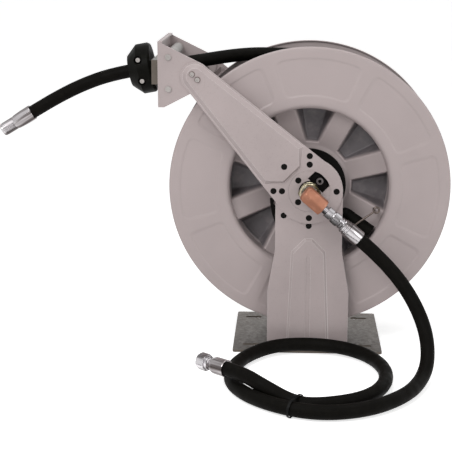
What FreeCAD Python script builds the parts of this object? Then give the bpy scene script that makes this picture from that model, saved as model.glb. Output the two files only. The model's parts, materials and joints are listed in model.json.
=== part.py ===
"""Spring-rewind hose reel with two pedestals and two guide arms.

Frame: X to the right, Y from the swivel side to the spring side, Z up. The origin is the
centre of the base plate's underside. All sizes are in millimetres and degrees.
"""
import FreeCAD
import Part
import Sketcher
import math
import os
from FreeCAD import Placement, Rotation, Vector

SIZES = [
    # Stand
    ("hub_height", 352, "drum axis above the floor"),
    ("base_width", 322, "base plate along X"),
    ("base_depth", 285, "base plate along Y"),
    ("base_sheet", 5, "base plate thickness"),
    ("base_corner", 6, "base plate corner radius"),
    ("slot_pitch_x", 272, "mounting slots, distance along X"),
    ("slot_pitch_y", 204, "mounting slots, distance along Y"),
    ("slot_eye_radius", 8.5, "round end of a keyhole slot"),
    ("slot_half_width", 5, "narrow end of a keyhole slot"),
    ("slot_reach", 24, "from the round end to the narrow end"),
    ("post_gap", 26, "disc face to pedestal plate"),
    ("post_sheet", 5, "pedestal plate thickness"),
    ("post_top_half", 71, "pedestal half width at the hub"),
    ("post_foot_half", 87, "pedestal half width at the foot"),
    ("flare_low", 130, "height where the flare starts"),
    ("flare_high", 222, "height where the flare ends"),
    ("flange_depth", 13, "pedestal side flange behind the plate"),
    ("foot_depth", 42, "pedestal foot along Y"),
    ("foot_bolt_pitch", 110, "outer foot bolts, distance along X"),
    ("emboss_rise", 4, "pressed gothic panel above the plate"),
    ("emboss_slope", 5, "width of the pressed panel's slope"),
    ("emboss_top", 250, "top of the pressed panel"),
    ("emboss_peak_half", 8, "half width of the pressed panel's peak"),
    ("emboss_shoulder_half", 37, "half width at the pressed panel's shoulder"),
    ("emboss_foot_half", 46, "half width at the pressed panel's foot"),
    ("emboss_shoulder_drop", 29, "peak to shoulder"),
    ("emboss_groove_half", 5, "half width of the panel's middle groove"),
    ("emboss_groove_drop", 42, "peak to the groove's top"),
    ("groove_depth", 1.6, "depth of the middle groove"),
    # Guide arms and hose outlet
    ("arm_length", 340, "drum axis to arm tip"),
    ("arm_angle", 135, "arm direction from +X towards +Z"),
    ("arm_hub_radius", 70, "arm radius round the hub"),
    ("arm_tip_radius", 30, "arm radius at the tip"),
    ("arm_sheet", 3.5, "arm plate thickness"),
    ("arm_rim", 3, "flat rim outside the pressed tray"),
    ("arm_slope", 9.5, "width of the tray's slope"),
    ("arm_rise", 7, "tray above the rim"),
    ("tray_start", 49, "drum axis to the tray's end at its middle"),
    ("tray_mouth_half", 24, "half width of the tray's straight end"),
    ("tray_side_start", 76, "drum axis to the tray's end at its sides"),
    ("arm_bolt_circle", 57.5, "radius of the arm bolts"),
    ("arm_hole_circle", 75.5, "radius of the spare arm position holes"),
    ("arm_hole_radius", 6.6, "spare position hole"),
    ("tip_bolt_pitch", 16, "two bracket bolts along the arm"),
    ("bracket_sheet", 4, "outlet bracket thickness"),
    ("bracket_reach", 78, "arm tip to the bracket's web"),
    ("bracket_above", 72, "bracket above the arm tip"),
    ("bracket_below", 65, "bracket below the arm tip"),
    ("bracket_lip", 9, "folded lip along the web"),
    ("bracket_low_run", 13, "lower edge of the bracket's cheek"),
    ("exit_rise", 6.5, "hose centre above the arm tip"),
    ("window_width", 84, "web window along Y"),
    ("window_height", 46, "web window along Z"),
    ("frame_width", 206, "roller frame along Y"),
    ("frame_height", 51, "roller frame along Z"),
    ("frame_depth", 15, "roller frame along X"),
    ("frame_sheet", 3, "roller frame thickness"),
    ("long_roller_radius", 12, "horizontal guide rollers"),
    ("long_roller_gap", 33, "hose centre to a horizontal roller's axis"),
    ("long_roller_inset", 22, "web to a horizontal roller's axis"),
    ("long_roller_play", 8, "end play of a horizontal roller"),
    ("short_roller_radius", 5.5, "upright guide rollers"),
    ("short_roller_gap", 22, "hose centre to an upright roller's axis"),
    ("long_pin_radius", 4, "horizontal roller pins"),
    ("short_pin_radius", 2, "upright roller pins"),
    # Drum
    ("drum_width", 180, "outer face to outer face of the discs"),
    ("disc_radius", 300, "disc outer radius"),
    ("disc_sheet", 2.5, "disc thickness"),
    ("rim_lip", 7, "disc's turned rim"),
    ("opening_inset", 22, "barrel's surface to the dish opening"),
    ("opening_bend", 12, "rounded shoulder of the opening"),
    ("spoke_level", 27, "spokes' outer ends behind the disc face"),
    ("hub_level", 59, "hub floor behind the disc face"),
    ("hub_ring", 86, "hub floor's radius"),
    ("trough_level", 72, "trough floors behind the disc face"),
    ("trough_border", 2, "hub floor's edge to a trough"),
    ("trough_ledge", 0.6, "trough to the dish wall"),
    ("trough_half_angle", 14.7, "half the angle that a trough spans"),
    ("trough_wall", 14, "slope of a trough's side walls"),
    ("trough_toe", 9.5, "slope of a trough's inner end"),
    ("trough_draft", 2, "slope of a trough's outer end"),
    ("disc_cells", 8, "panels, spokes and troughs"),
    ("disc_turn", -3.8, "rest angle of the disc's pattern"),
    ("panel_gap", 15, "rounded shoulder to a panel's inner edge"),
    ("panel_border", 23, "disc's edge to a panel's outer edge"),
    ("panel_half_angle", 19.4, "half the angle that a panel spans"),
    ("panel_corner", 13, "corner radius of a panel"),
    ("panel_depth", 1.2, "depth of a panel"),
    ("barrel_radius", 192, "barrel outer radius"),
    ("barrel_sheet", 3, "barrel thickness"),
    ("shaft_radius", 17, "hollow shaft"),
    ("shaft_bore", 9.5, "water way"),
    ("nose_radius", 12, "shaft nose in the swivel"),
    ("nose_length", 26, "shaft nose"),
    ("elbow_circle", 100.6, "drum axis to the drum elbow"),
    ("elbow_lift", 34.5, "drum elbow in front of the hub floor"),
    ("elbow_angle", -37.3, "drum elbow, from +X towards +Z"),
    ("elbow_stub", 8, "drum elbow's stub through the disc"),
    ("elbow_radius", 14, "drum elbow"),
    ("dish_hose_angle", -34, "hose in the dish, from +X towards +Z"),
    ("dish_hose_rise", 10, "dish hose's slope towards the flange"),
    ("clamp_rod_radius", 2.2, "rod over the dish hose"),
    ("clamp_place", 28.4, "drum elbow to the rod, along the hose"),
    ("clamp_angle", 36, "rod's direction, from +X towards +Z"),
    ("clamp_reach", 46, "rod's far foot from the dish hose"),
    ("clamp_eye_radius", 6, "eye at the rod's far end"),
    ("ratchet_radius", 79.5, "ratchet wheel"),
    ("ratchet_width", 8, "ratchet wheel along Y"),
    ("ratchet_gap", 16, "hub floor to the ratchet wheel"),
    ("ratchet_sleeve", 34, "ratchet wheel's sleeve"),
    ("tooth_depth", 7, "ratchet tooth"),
    ("tooth_count", 6, "teeth in the ratchet's sector"),
    ("tooth_angle", 12, "angle of one tooth"),
    ("tooth_start", 158, "first tooth, from +X towards +Z"),
    ("hub_flange", 66, "drum hub's flanges"),
    ("hub_core", 32, "drum hub's core"),
    ("hub_screw_circle", 52, "drum hub screws"),
    ("run_gap", 0.05, "radial running clearance"),
    ("slip_gap", 0.4, "clearance of seated pieces"),
    ("bearing_radius", 22, "bearing body"),
    ("bearing_flange", 40, "bearing flange radius"),
    ("bearing_flange_width", 3.5, "bearing flange along Y"),
    ("retainer_radius", 44, "retainer plate in the arm's eye"),
    ("retainer_screw_circle", 33, "retainer's screws"),
    ("window_half", 22, "half width of the hub's slanted window"),
    ("window_reach", 43, "window's reach from the axis"),
    ("window_overrun", 6, "window's cut past the retainer's edge"),
    ("shaft_nut_flats", 42, "zinc nut across flats"),
    ("shaft_nut_width", 13, "zinc nut along Y"),
    ("washer_radius", 20.5, "threaded collar behind the nut"),
    ("washer_width", 11.5, "threaded collar along Y"),
    ("collar_pitch", 2.3, "collar thread"),
    ("pawl_circle", 118, "drum axis to pawl pivot"),
    ("pawl_angle", 243.7, "pawl pivot, from +X towards +Z"),
    ("pawl_width", 6, "pawl along Y"),
    ("pawl_play", 0.8, "pawl to the ratchet wheel's teeth"),
    ("pawl_pin_radius", 5, "pawl pivot"),
    # Spring motor
    ("case_radius", 96, "spring case"),
    ("case_depth", 58, "spring case along Y"),
    ("case_wall", 3, "spring case wall"),
    ("case_flange", 10, "case flange beyond the wall"),
    ("arbor_radius", 24, "spring arbor"),
    ("strip_width", 44, "mainspring strip along Y"),
    ("strip_sheet", 1.6, "mainspring strip thickness"),
    ("strip_turns", 6, "drawn turns of the mainspring"),
    # Hoses and fittings
    ("hose_diameter", 29, "hose"),
    ("winding_depth", 30, "disc's edge to the outer layer's centre line"),
    ("winding_pitch", 30, "one turn of hose along Y"),
    ("winding_gap", 0.5, "core below the outer layer"),
    ("ferrule_radius", 17.2, "crimped ferrules"),
    ("ferrule_length", 45, "crimped ferrules"),
    ("crimp_depth", 12, "hose inside a ferrule"),
    ("swivel_axis_setback", 24.5, "shaft nut face to the swivel outlet's axis"),
    ("swivel_flats", 34, "swivel body across flats"),
    ("swivel_reach", 38, "drum axis to the swivel body's end"),
    ("swivel_angle", -40.6, "swivel outlet from +X towards +Z"),
    ("swivel_tail", 8, "swivel body beyond the drum axis"),
    ("adapter_flats", 24, "adapter hexagon"),
    ("adapter_length", 23, "adapter neck and hexagon"),
    ("adapter_hex", 15, "adapter hexagon along the fitting"),
    ("union_flats", 27, "inlet union nut"),
    ("union_length", 32, "inlet union nut and stem"),
    ("union_hex", 20, "inlet union hexagon along the fitting"),
    ("stem_radius", 9, "stems between fittings"),
    ("stop_length", 52, "hose stop along the hose"),
    ("stop_angle", 10.7, "hose stop's axis below the horizontal"),
    ("stop_setback", 31.5, "roller frame to the hose stop's middle"),
    ("outlet_lead", 46, "straight hose below the hose stop"),
    ("stop_drop", 3.4, "exit height to the hose stop's middle"),
    ("stop_radius", 54, "hose stop"),
    ("stop_gap", 1.5, "between the hose stop's halves"),
    ("stop_seat_radius", 9, "seats for the hose stop's bolts"),
    ("stop_bolt_offset", 23, "hose stop bolts from the hose's axis"),
    ("end_flats", 34, "inlet hose's swivel nut"),
    ("end_length", 27, "inlet hose's swivel nut"),
    ("tip_length", 34, "outlet hose's threaded end"),
    ("tip_radius", 13.2, "outlet hose's threaded end"),
    ("tip_pitch", 3, "outlet thread's rings"),
    ("tip_collar_flats", 27, "outlet end's hexagon"),
    ("tie_sheet", 1, "cable tie thickness"),
    ("tie_slack", 2.2, "cable tie to the hose"),
    ("tie_width", 4.8, "cable tie width"),
    ("tie_place", -33, "cable tie along X"),
    ("tie_row", -440, "strands in front of this go into the tie"),
    ("window_pin_circle", 31, "pin seen in the hub's window"),
    ("window_pin_radius", 7.5, "pin seen in the hub's window"),
    # Fasteners
    ("screw_radius", 4, "M8 thread"),
    ("screw_head", 6.6, "M8 head"),
    ("screw_head_height", 4.4, "M8 button head"),
    ("low_head_height", 1.2, "flat black heads in the arms and the retainer"),
    ("nut_flats", 13, "M8 nut across flats"),
    ("nut_height", 6.5, "M8 nut"),
    ("socket_flats", 5, "hexagon socket"),
]

# Angles round the drum axis, from +X towards +Z
ARM_BOLTS = (0, 90, 180, 270)
RETAINER_SCREWS = (135, 225, 315)

doc = FreeCAD.newDocument("hose_reel")
sheet = doc.addObject("Spreadsheet::Sheet", "Sizes")
nodes = []


class Size:
    """A number that also carries the expression that it comes from."""

    def __init__(self, value, text):
        self.value = float(value)
        self.text = text

    def _join(self, other, sign, result):
        return Size(result, f"({self.text} {sign} {as_size(other).text})")

    def __add__(self, other):
        return self._join(other, "+", self.value + float(other))

    def __sub__(self, other):
        return self._join(other, "-", self.value - float(other))

    def __mul__(self, other):
        return self._join(other, "*", self.value * float(other))

    def __truediv__(self, other):
        return self._join(other, "/", self.value / float(other))

    def __radd__(self, other):
        return as_size(other) + self

    def __rsub__(self, other):
        return as_size(other) - self

    def __rmul__(self, other):
        return as_size(other) * self

    def __neg__(self):
        return Size(-self.value, f"(-{self.text})")

    def __float__(self):
        return self.value


def as_size(number):
    return number if isinstance(number, Size) else Size(number, repr(float(number)))


def sine(angle):
    return Size(math.sin(math.radians(float(angle))), f"sin({as_size(angle).text} * 1 deg)")


def cosine(angle):
    return Size(math.cos(math.radians(float(angle))), f"cos({as_size(angle).text} * 1 deg)")


def root(number):
    return Size(math.sqrt(float(number)), f"sqrt({as_size(number).text})")


class Named:
    """The driving sizes, read back from the sheet by name."""


def fill_sheet():
    for row, (name, number, meaning) in enumerate(SIZES, start=1):
        sheet.set(f"A{row}", meaning)
        sheet.set(f"B{row}", str(number))
        sheet.setAlias(f"B{row}", name)
    doc.recompute()
    named = Named()
    for name, _, _ in SIZES:
        setattr(named, name, Size(sheet.get(name), f"Sizes.{name}"))
    return named


d = fill_sheet()

# Places that several pieces share
disc_face = d.drum_width / 2
post_back = disc_face + d.post_gap
post_face = post_back + d.post_sheet
arm_face = post_face + d.arm_sheet
washer_face = arm_face + d.slip_gap * 4
nut_back = washer_face + d.washer_width
nut_face = nut_back + d.shaft_nut_width
swivel_plane = nut_face + d.swivel_axis_setback
hub_floor = disc_face - d.hub_level
opening_radius = d.barrel_radius - d.opening_inset
spoke_rise = (d.hub_level - d.spoke_level) / (opening_radius - d.hub_ring)
trough_inner = d.hub_ring + d.trough_border
trough_outer = opening_radius - d.trough_ledge
winding_radius = d.disc_radius - d.winding_depth
ratchet_back = hub_floor + d.ratchet_gap
ratchet_face = ratchet_back + d.ratchet_width
case_back = arm_face + d.arm_rise + d.slip_gap
hose_radius = d.hose_diameter / 2
arm_lean = (d.arm_hub_radius - d.arm_tip_radius) / d.arm_length
tip_x = d.arm_length * cosine(d.arm_angle)
tip_z = d.hub_height + d.arm_length * sine(d.arm_angle)
web_x = tip_x - d.bracket_reach
exit_z = tip_z + d.exit_rise
frame_face_x = web_x - d.frame_depth
upright_x = web_x - (d.frame_depth - d.frame_sheet) / 2


# ---------------------------------------------------------------- drawing helpers

def bind(item, path, size):
    if isinstance(size, Size):
        item.setExpression(path, size.text)


def place(item, x=0, y=0, z=0, axis=None, angle=0):
    """Set and bind where an object stands, turned by angle about axis."""
    turn = Rotation(Vector(*axis), float(angle)) if axis else Rotation()
    item.Placement = Placement(Vector(float(x), float(y), float(z)), turn)
    for letter, size in (("x", x), ("y", y), ("z", z)):
        bind(item, f"Placement.Base.{letter}", size)
    if axis and isinstance(angle, Size):
        item.setExpression("Placement.Rotation.Angle", f"{angle.text} * 1 deg")
    return item


def node(item, label):
    """Name an object and put it among the files to write."""
    item.Label = label
    nodes.append(item)
    return item


def new_body(label):
    return node(doc.addObject("PartDesign::Body", label), label)


def origin_plane(body, role):
    return next(part for part in body.Origin.OriginFeatures if part.Role == role)


def new_sketch(body, plane, offset=0):
    """A sketch on an origin plane, moved along the plane's normal (-Y for XZ)."""
    sketch = body.newObject("Sketcher::SketchObject", body.Name + "_sketch")
    sketch.AttachmentSupport = [(origin_plane(body, plane + "_Plane"), "")]
    sketch.MapMode = "FlatFace"
    sketch.AttachmentOffset = Placement(Vector(0, 0, float(offset)), Rotation())
    bind(sketch, "AttachmentOffset.Base.z", offset)
    return sketch


def pin_point(sketch, edge, end, u, v):
    """Hold one end of an edge at (u, v)."""
    for kind, size in (("DistanceX", u), ("DistanceY", v)):
        index = sketch.addConstraint(
            Sketcher.Constraint(kind, -1, 1, edge, end, float(size)))
        bind(sketch, f"Constraints[{index}]", size)


def arc_between(start, end, radius, side):
    """The shorter arc from start to end; side +1 bulges to the right of the chord."""
    chord = end - start
    half = chord.Length / 2
    across = Vector(chord.y, -chord.x, 0).normalize() * side
    rise = math.sqrt(max(radius * radius - half * half, 0))
    centre = (start + end) / 2 - across * rise
    first, last = (start, end) if side > 0 else (end, start)
    angles = [math.atan2(spot.y - centre.y, spot.x - centre.x) for spot in (first, last)]
    if angles[1] < angles[0]:
        angles[1] += 2 * math.pi
    return Part.ArcOfCircle(Part.Circle(centre, Vector(0, 0, 1), radius), *angles)


def draw_loop(sketch, corners):
    """Draw a closed outline. A corner is (u, v), or (u, v, radius, side) where an arc
    leads from it to the next corner."""
    first = sketch.GeometryCount
    count = len(corners)
    spots = [Vector(float(c[0]), float(c[1]), 0) for c in corners]
    starts = []
    for index, corner in enumerate(corners):
        start, end = spots[index], spots[(index + 1) % count]
        if len(corner) == 2:
            sketch.addGeometry(Part.LineSegment(start, end))
            starts.append((1, 2))
            continue
        sketch.addGeometry(arc_between(start, end, float(corner[2]), corner[3]))
        starts.append((1, 2) if corner[3] > 0 else (2, 1))
    for index, corner in enumerate(corners):
        after = (index + 1) % count
        sketch.addConstraint(Sketcher.Constraint(
            "Coincident", first + index, starts[index][1], first + after, starts[after][0]))
        pin_point(sketch, first + index, starts[index][0], corner[0], corner[1])
        if len(corner) > 2:
            mark = sketch.addConstraint(
                Sketcher.Constraint("Radius", first + index, float(corner[2])))
            bind(sketch, f"Constraints[{mark}]", corner[2])
    return sketch


def draw_circle(sketch, u, v, radius):
    edge = sketch.addGeometry(
        Part.Circle(Vector(float(u), float(v), 0), Vector(0, 0, 1), float(radius)))
    pin_point(sketch, edge, 3, u, v)
    mark = sketch.addConstraint(Sketcher.Constraint("Radius", edge, float(radius)))
    bind(sketch, f"Constraints[{mark}]", radius)
    return sketch


def add_feature(body, kind, sketch, length=None, flipped=False):
    feature = body.newObject("PartDesign::" + kind, body.Name + "_" + kind.lower())
    feature.Profile = sketch
    if length is not None:
        feature.Length = float(length)
        bind(feature, "Length", length)
    feature.Reversed = flipped
    doc.recompute()
    return feature


def pad(body, sketch, length, flipped=False):
    return add_feature(body, "Pad", sketch, length, flipped)


def pocket(body, sketch, length, flipped=False):
    """Cut a sketch into its body and make sure that it removed something."""
    before = body.Shape.Volume
    feature = add_feature(body, "Pocket", sketch, length, flipped)
    if body.Shape.Volume > before - 1e-3:
        raise RuntimeError(f"{feature.Name} removes nothing")
    return feature


def loft(body, sketches, cut=False):
    kind = "SubtractiveLoft" if cut else "AdditiveLoft"
    feature = body.newObject("PartDesign::" + kind, body.Name + "_loft")
    feature.Profile = sketches[0]
    feature.Sections = sketches[1:]
    feature.Ruled = True
    doc.recompute()
    return feature


def ring_pattern(body, features, count):
    """Repeat features evenly round the body's Y axis."""
    pattern = body.newObject("PartDesign::PolarPattern", body.Name + "_pattern")
    pattern.Originals = features
    pattern.Axis = (origin_plane(body, "Y_Axis"), [""])
    pattern.Angle = 360
    pattern.Occurrences = int(float(count))
    bind(pattern, "Occurrences", count)
    body.Tip = pattern
    doc.recompute()
    return pattern


def turned(label, profile, z=0, x=0, y=0):
    """A body turned about Y from a closed profile of (radius, y) corners."""
    body = new_body(label)
    turn_profile(body, "Revolution", profile)
    return place(body, x, y, z)


def tube_profile(inner, outer, near, far):
    return [(inner, near), (outer, near), (outer, far), (inner, far)]


def keep(label, shape):
    """A piece whose shape is made with Part's own functions."""
    item = node(doc.addObject("Part::Feature", label), label)
    item.Shape = shape
    return item


def mirrored(label, source):
    """The same piece on the spring side."""
    item = doc.addObject("Part::Mirroring", label)
    item.Source = source
    item.Base = Vector(0, 0, 0)
    item.Normal = Vector(0, 1, 0)
    return node(item, label)


def cylinder(radius, length, start, direction):
    return Part.makeCylinder(float(radius), float(length), start, direction)


def hexagon(flats, length, start, direction):
    """A hexagonal prism, with its flats square to Z turned about direction."""
    radius = float(flats) / 2 / math.cos(math.pi / 6)
    corners = [Vector(radius * math.cos(math.radians(60 * k)),
                      radius * math.sin(math.radians(60 * k)), 0) for k in range(7)]
    prism = Part.Face(Part.makePolygon(corners)).extrude(Vector(0, 0, float(length)))
    prism.Placement = Placement(start, Rotation(Vector(0, 0, 1), direction))
    return prism


# ---------------------------------------------------------------- stand

def make_base_plate():
    body = new_body("base_plate")
    half_x, half_y = d.base_width / 2, d.base_depth / 2
    corner = d.base_corner
    plate = [(-half_x + corner, -half_y), (half_x - corner, -half_y, corner, 1),
             (half_x, -half_y + corner), (half_x, half_y - corner, corner, 1),
             (half_x - corner, half_y), (-half_x + corner, half_y, corner, 1),
             (-half_x, half_y - corner), (-half_x, -half_y + corner, corner, 1)]
    pad(body, draw_loop(new_sketch(body, "XY"), plate), d.base_sheet)
    for side_x in (-1, 1):
        for side_y in (-1, 1):
            draw_keyhole(body, side_x, side_y)
    threads = new_sketch(body, "XY")
    for side_x in (-1, 1):
        for side_y in (-1, 1):
            draw_circle(threads, side_x * d.foot_bolt_pitch / 2,
                        side_y * (post_back - d.foot_depth / 2), d.screw_radius)
    pocket(body, threads, d.base_sheet, flipped=True)
    return body


def draw_keyhole(body, side_x, side_y):
    """One keyhole slot: its narrow end is the mounting hole, its eye points inwards."""
    hole_x = side_x * d.slot_pitch_x / 2
    eye_x = hole_x - side_x * d.slot_reach
    row = side_y * d.slot_pitch_y / 2
    narrow, eye = d.slot_half_width, d.slot_eye_radius
    join = eye_x + side_x * root(eye * eye - narrow * narrow)
    slot = [(join, row - narrow), (hole_x, row - narrow, narrow, side_x),
            (hole_x + side_x * narrow, row, narrow, side_x),
            (hole_x, row + narrow), (join, row + narrow)]
    pocket(body, draw_loop(new_sketch(body, "XY"), slot), d.base_sheet, flipped=True)
    eye_sketch = draw_circle(new_sketch(body, "XY"), eye_x, row, eye)
    pocket(body, eye_sketch, d.base_sheet, flipped=True)


def make_post():
    """A pedestal plate with side flanges, a foot, the pressed panel and the hub's holes."""
    body = new_body("front_post")
    foot, top, low, high = d.post_foot_half, d.post_top_half, d.flare_low, d.flare_high
    floor = d.base_sheet
    plate = [(foot, floor), (foot, low), (top, high), (top, d.hub_height, top, 1),
             (0, d.hub_height + top, top, 1), (-top, d.hub_height), (-top, high), (-foot, low), (-foot, floor)]
    pad(body, draw_loop(new_sketch(body, "XZ", post_back), plate), d.post_sheet)
    block = [(foot, floor), (foot, low), (top, high), (-top, high), (-foot, low),
             (-foot, floor)]
    back = post_back - d.flange_depth
    pad(body, draw_loop(new_sketch(body, "XZ", back), block), d.flange_depth)
    foot_block = [(-foot, floor), (foot, floor), (foot, floor + d.post_sheet),
                  (-foot, floor + d.post_sheet)]
    foot_back = post_back - d.foot_depth
    wall = d.post_sheet
    trim = [(foot - wall, floor - 1), (foot - wall, low), (top - wall, high + 1),
            (wall - top, high + 1), (wall - foot, low), (wall - foot, floor - 1)]
    pocket(body, draw_loop(new_sketch(body, "XZ", post_back), trim), d.flange_depth)
    pad(body, draw_loop(new_sketch(body, "XZ", foot_back), foot_block), d.foot_depth)
    press_panel(body, floor)
    bolts = new_sketch(body, "XY", floor + d.post_sheet)
    for side in (-1, 1):
        draw_circle(bolts, side * d.foot_bolt_pitch / 2, d.foot_depth / 2 - post_back,
                    d.screw_radius + d.slip_gap)
    pocket(body, bolts, d.post_sheet)
    cut_hub_holes(body, post_face, d.post_sheet, d.bearing_radius + d.slip_gap)
    holes = new_sketch(body, "XZ", post_face)
    for angle in (225, 270):
        draw_circle(holes, d.arm_hole_circle * cosine(angle),
                    d.hub_height + d.arm_hole_circle * sine(angle), d.arm_hole_radius)
    for angle in RETAINER_SCREWS:
        draw_circle(holes, d.retainer_screw_circle * cosine(angle),
                    d.hub_height + d.retainer_screw_circle * sine(angle), d.screw_radius)
    pocket(body, holes, d.post_sheet)
    return body


def press_panel(body, floor):
    """The gothic panel pressed forward out of the pedestal, with its middle groove."""

    def gothic(inset):
        peak = d.emboss_top - inset
        shoulder = peak - d.emboss_shoulder_drop
        return [(d.emboss_peak_half - inset / 2, peak),
                (-d.emboss_peak_half + inset / 2, peak),
                (-d.emboss_shoulder_half + inset, shoulder),
                (-d.emboss_foot_half + inset, floor + d.post_sheet + inset),
                (d.emboss_foot_half - inset, floor + d.post_sheet + inset),
                (d.emboss_shoulder_half - inset, shoulder)]

    wide, narrow = as_size(0), d.emboss_slope
    base = draw_loop(new_sketch(body, "XZ", post_face - 0.5), gothic(wide))
    crown = draw_loop(new_sketch(body, "XZ", post_face + d.emboss_rise), gothic(narrow))
    loft(body, [base, crown])
    hollow_base = draw_loop(new_sketch(body, "XZ", post_back), gothic(d.emboss_slope))
    hollow_crown = draw_loop(
        new_sketch(body, "XZ", post_back + d.emboss_rise), gothic(d.emboss_slope * 2))
    loft(body, [hollow_base, hollow_crown], cut=True)
    half, top = d.emboss_groove_half, d.emboss_top - d.emboss_groove_drop
    bottom = floor + d.post_sheet + d.emboss_slope + 2
    groove = [(-half, bottom), (half, bottom), (half, top), (0, top + half), (-half, top)]
    face = post_face + d.emboss_rise
    pocket(body, draw_loop(new_sketch(body, "XZ", face), groove), d.groove_depth)


def cut_hub_holes(body, face, depth, bore, height=None):
    """Bolt holes on the arm bolt circle, the shaft's bore and the slanted window."""
    height = d.hub_height if height is None else height
    holes = new_sketch(body, "XZ", face)
    for angle in ARM_BOLTS:
        draw_circle(holes, d.arm_bolt_circle * cosine(angle),
                    height + d.arm_bolt_circle * sine(angle), d.screw_radius + d.slip_gap)
    draw_circle(holes, 0, height, bore)
    pocket(body, holes, depth)
    window = slanted_window(height, d.window_reach)
    pocket(body, draw_loop(new_sketch(body, "XZ", face), window), depth)


def slanted_window(height, reach):
    """A window from the shaft's bore out towards the upper right."""
    half = d.window_half
    near = d.shaft_radius
    along, across = cosine(45), sine(45)
    return [(near * along + half * across, height + near * along - half * across),
            (reach * along + half * across, height + reach * along - half * across),
            (reach * along - half * across, height + reach * along + half * across),
            (near * along - half * across, height + near * along + half * across)]


# ---------------------------------------------------------------- guide arms

def make_arm():
    """A guide arm drawn along +X about the drum axis and then turned up to its angle."""
    body = new_body("front_guide_arm")
    hub, tip, length = d.arm_hub_radius, d.arm_tip_radius, d.arm_length
    lean = arm_lean
    upright = root(1 - lean * lean)
    outline = [(hub * lean, -(hub * upright)),
               (length + tip * lean, -(tip * upright), tip, 1),
               (length + tip, 0, tip, 1),
               (length + tip * lean, tip * upright),
               (hub * lean, hub * upright, hub, 1),
               (-hub, 0, hub, 1)]
    pad(body, draw_loop(new_sketch(body, "XZ", post_face), outline), d.arm_sheet)
    low = draw_loop(new_sketch(body, "XZ", arm_face - 0.5), tray_outline(d.arm_rim))
    high = draw_loop(new_sketch(body, "XZ", arm_face + d.arm_rise),
                     tray_outline(d.arm_rim + d.arm_slope))
    loft(body, [low, high])
    hollow(body)
    eye = draw_circle(new_sketch(body, "XZ", arm_face), 0, 0, d.retainer_radius + d.slip_gap)
    pocket(body, eye, d.arm_sheet)
    holes = new_sketch(body, "XZ", arm_face)
    for angle in (45, 135, 225, 315):
        draw_circle(holes, d.arm_bolt_circle * cosine(angle), d.arm_bolt_circle * sine(angle),
                    d.screw_radius + d.slip_gap)
    for angle in (45, -45):
        draw_circle(holes, d.arm_hole_circle * cosine(angle), d.arm_hole_circle * sine(angle),
                    d.arm_hole_radius)
    pocket(body, holes, d.arm_sheet)
    through = new_sketch(body, "XZ", arm_face + d.arm_rise)
    draw_circle(through, d.arm_hole_circle, 0, d.arm_hole_radius)
    for side in (-1, 1):
        draw_circle(through, length + side * d.tip_bolt_pitch / 2, 0,
                    d.screw_radius + d.slip_gap)
    pocket(body, through, d.arm_sheet + d.arm_rise)
    return place(body, 0, 0, d.hub_height, axis=(0, -1, 0), angle=d.arm_angle)


def tray_outline(inset):
    """The tray's outline, inset from the arm's edge, with a chevron at the hub end."""
    lean = arm_lean
    upright = root(1 - lean * lean)
    tip = d.arm_tip_radius - inset
    hub = d.arm_hub_radius - inset
    side_start = d.tray_side_start + inset / 2
    mouth = d.tray_start + inset / 2
    side_half = (hub - side_start * lean) / upright
    return [(side_start, -side_half),
            (d.arm_length + tip * lean, -(tip * upright), tip, 1),
            (d.arm_length + tip, 0, tip, 1),
            (d.arm_length + tip * lean, tip * upright),
            (side_start, side_half),
            (mouth, d.tray_mouth_half),
            (mouth, -d.tray_mouth_half)]


def hollow(body):
    """The tray's inside, pressed out from the arm's back between hub and tip."""
    lean = arm_lean
    upright = root(1 - lean * lean)

    def trapezium(inset):
        near = d.arm_hub_radius + d.arm_hole_radius + 12 + inset
        far = d.arm_length - d.arm_tip_radius - inset
        edge = d.arm_hub_radius - d.arm_rim - d.arm_sheet - inset
        near_half = (edge - near * lean) / upright
        far_half = (edge - far * lean) / upright
        return [(near, -near_half), (far, -far_half), (far, far_half), (near, near_half)]

    low = draw_loop(new_sketch(body, "XZ", post_face), trapezium(as_size(0)))
    high = draw_loop(new_sketch(body, "XZ", post_face + d.arm_rise), trapezium(d.arm_slope))
    loft(body, [low, high], cut=True)


def make_bracket():
    """The U-shaped outlet bracket between the arm tips, with lips along its web."""
    body = new_body("outlet_bracket")
    tip = d.arm_tip_radius
    high, low = tip_z + d.bracket_above, tip_z - d.bracket_below
    low_x = web_x + d.bracket_low_run
    cheek = [(web_x, low), (low_x, low), (tip_x + tip * cosine(-40), tip_z + tip * sine(-40),
                                          tip, 1),
             (tip_x + tip * cosine(65), tip_z + tip * sine(65)), (web_x, high)]
    half = post_face
    pad(body, draw_loop(new_sketch(body, "XZ", -half), cheek), half * 2)
    wall = d.bracket_sheet
    inner = [(web_x + wall, low - 1), (web_x + d.bracket_reach + tip * 2, low - 1),
             (web_x + d.bracket_reach + tip * 2, high + 1), (web_x + wall, high + 1)]
    pocket(body, draw_loop(new_sketch(body, "XZ", half - wall), inner), (half - wall) * 2)
    for edge in (low, high - wall):
        lip = [(web_x, edge), (web_x + d.bracket_lip, edge),
               (web_x + d.bracket_lip, edge + wall), (web_x, edge + wall)]
        pad(body, draw_loop(new_sketch(body, "XZ", wall - half), lip), (half - wall) * 2)
    half_y, half_z = d.window_width / 2, d.window_height / 2
    window = [(-half_y, exit_z - half_z), (half_y, exit_z - half_z),
              (half_y, exit_z + half_z), (-half_y, exit_z + half_z)]
    pocket(body, draw_loop(new_sketch(body, "YZ", web_x), window), wall, flipped=True)
    holes = new_sketch(body, "XZ", half)
    for side in (-1, 1):
        along = d.arm_length + side * d.tip_bolt_pitch / 2
        draw_circle(holes, along * cosine(d.arm_angle),
                    d.hub_height + along * sine(d.arm_angle), d.screw_radius + d.slip_gap)
        draw_circle(holes, web_x + d.long_roller_inset, exit_z + side * d.long_roller_gap,
                    d.long_pin_radius)
    pocket(body, holes, half * 2)
    return body


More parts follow.
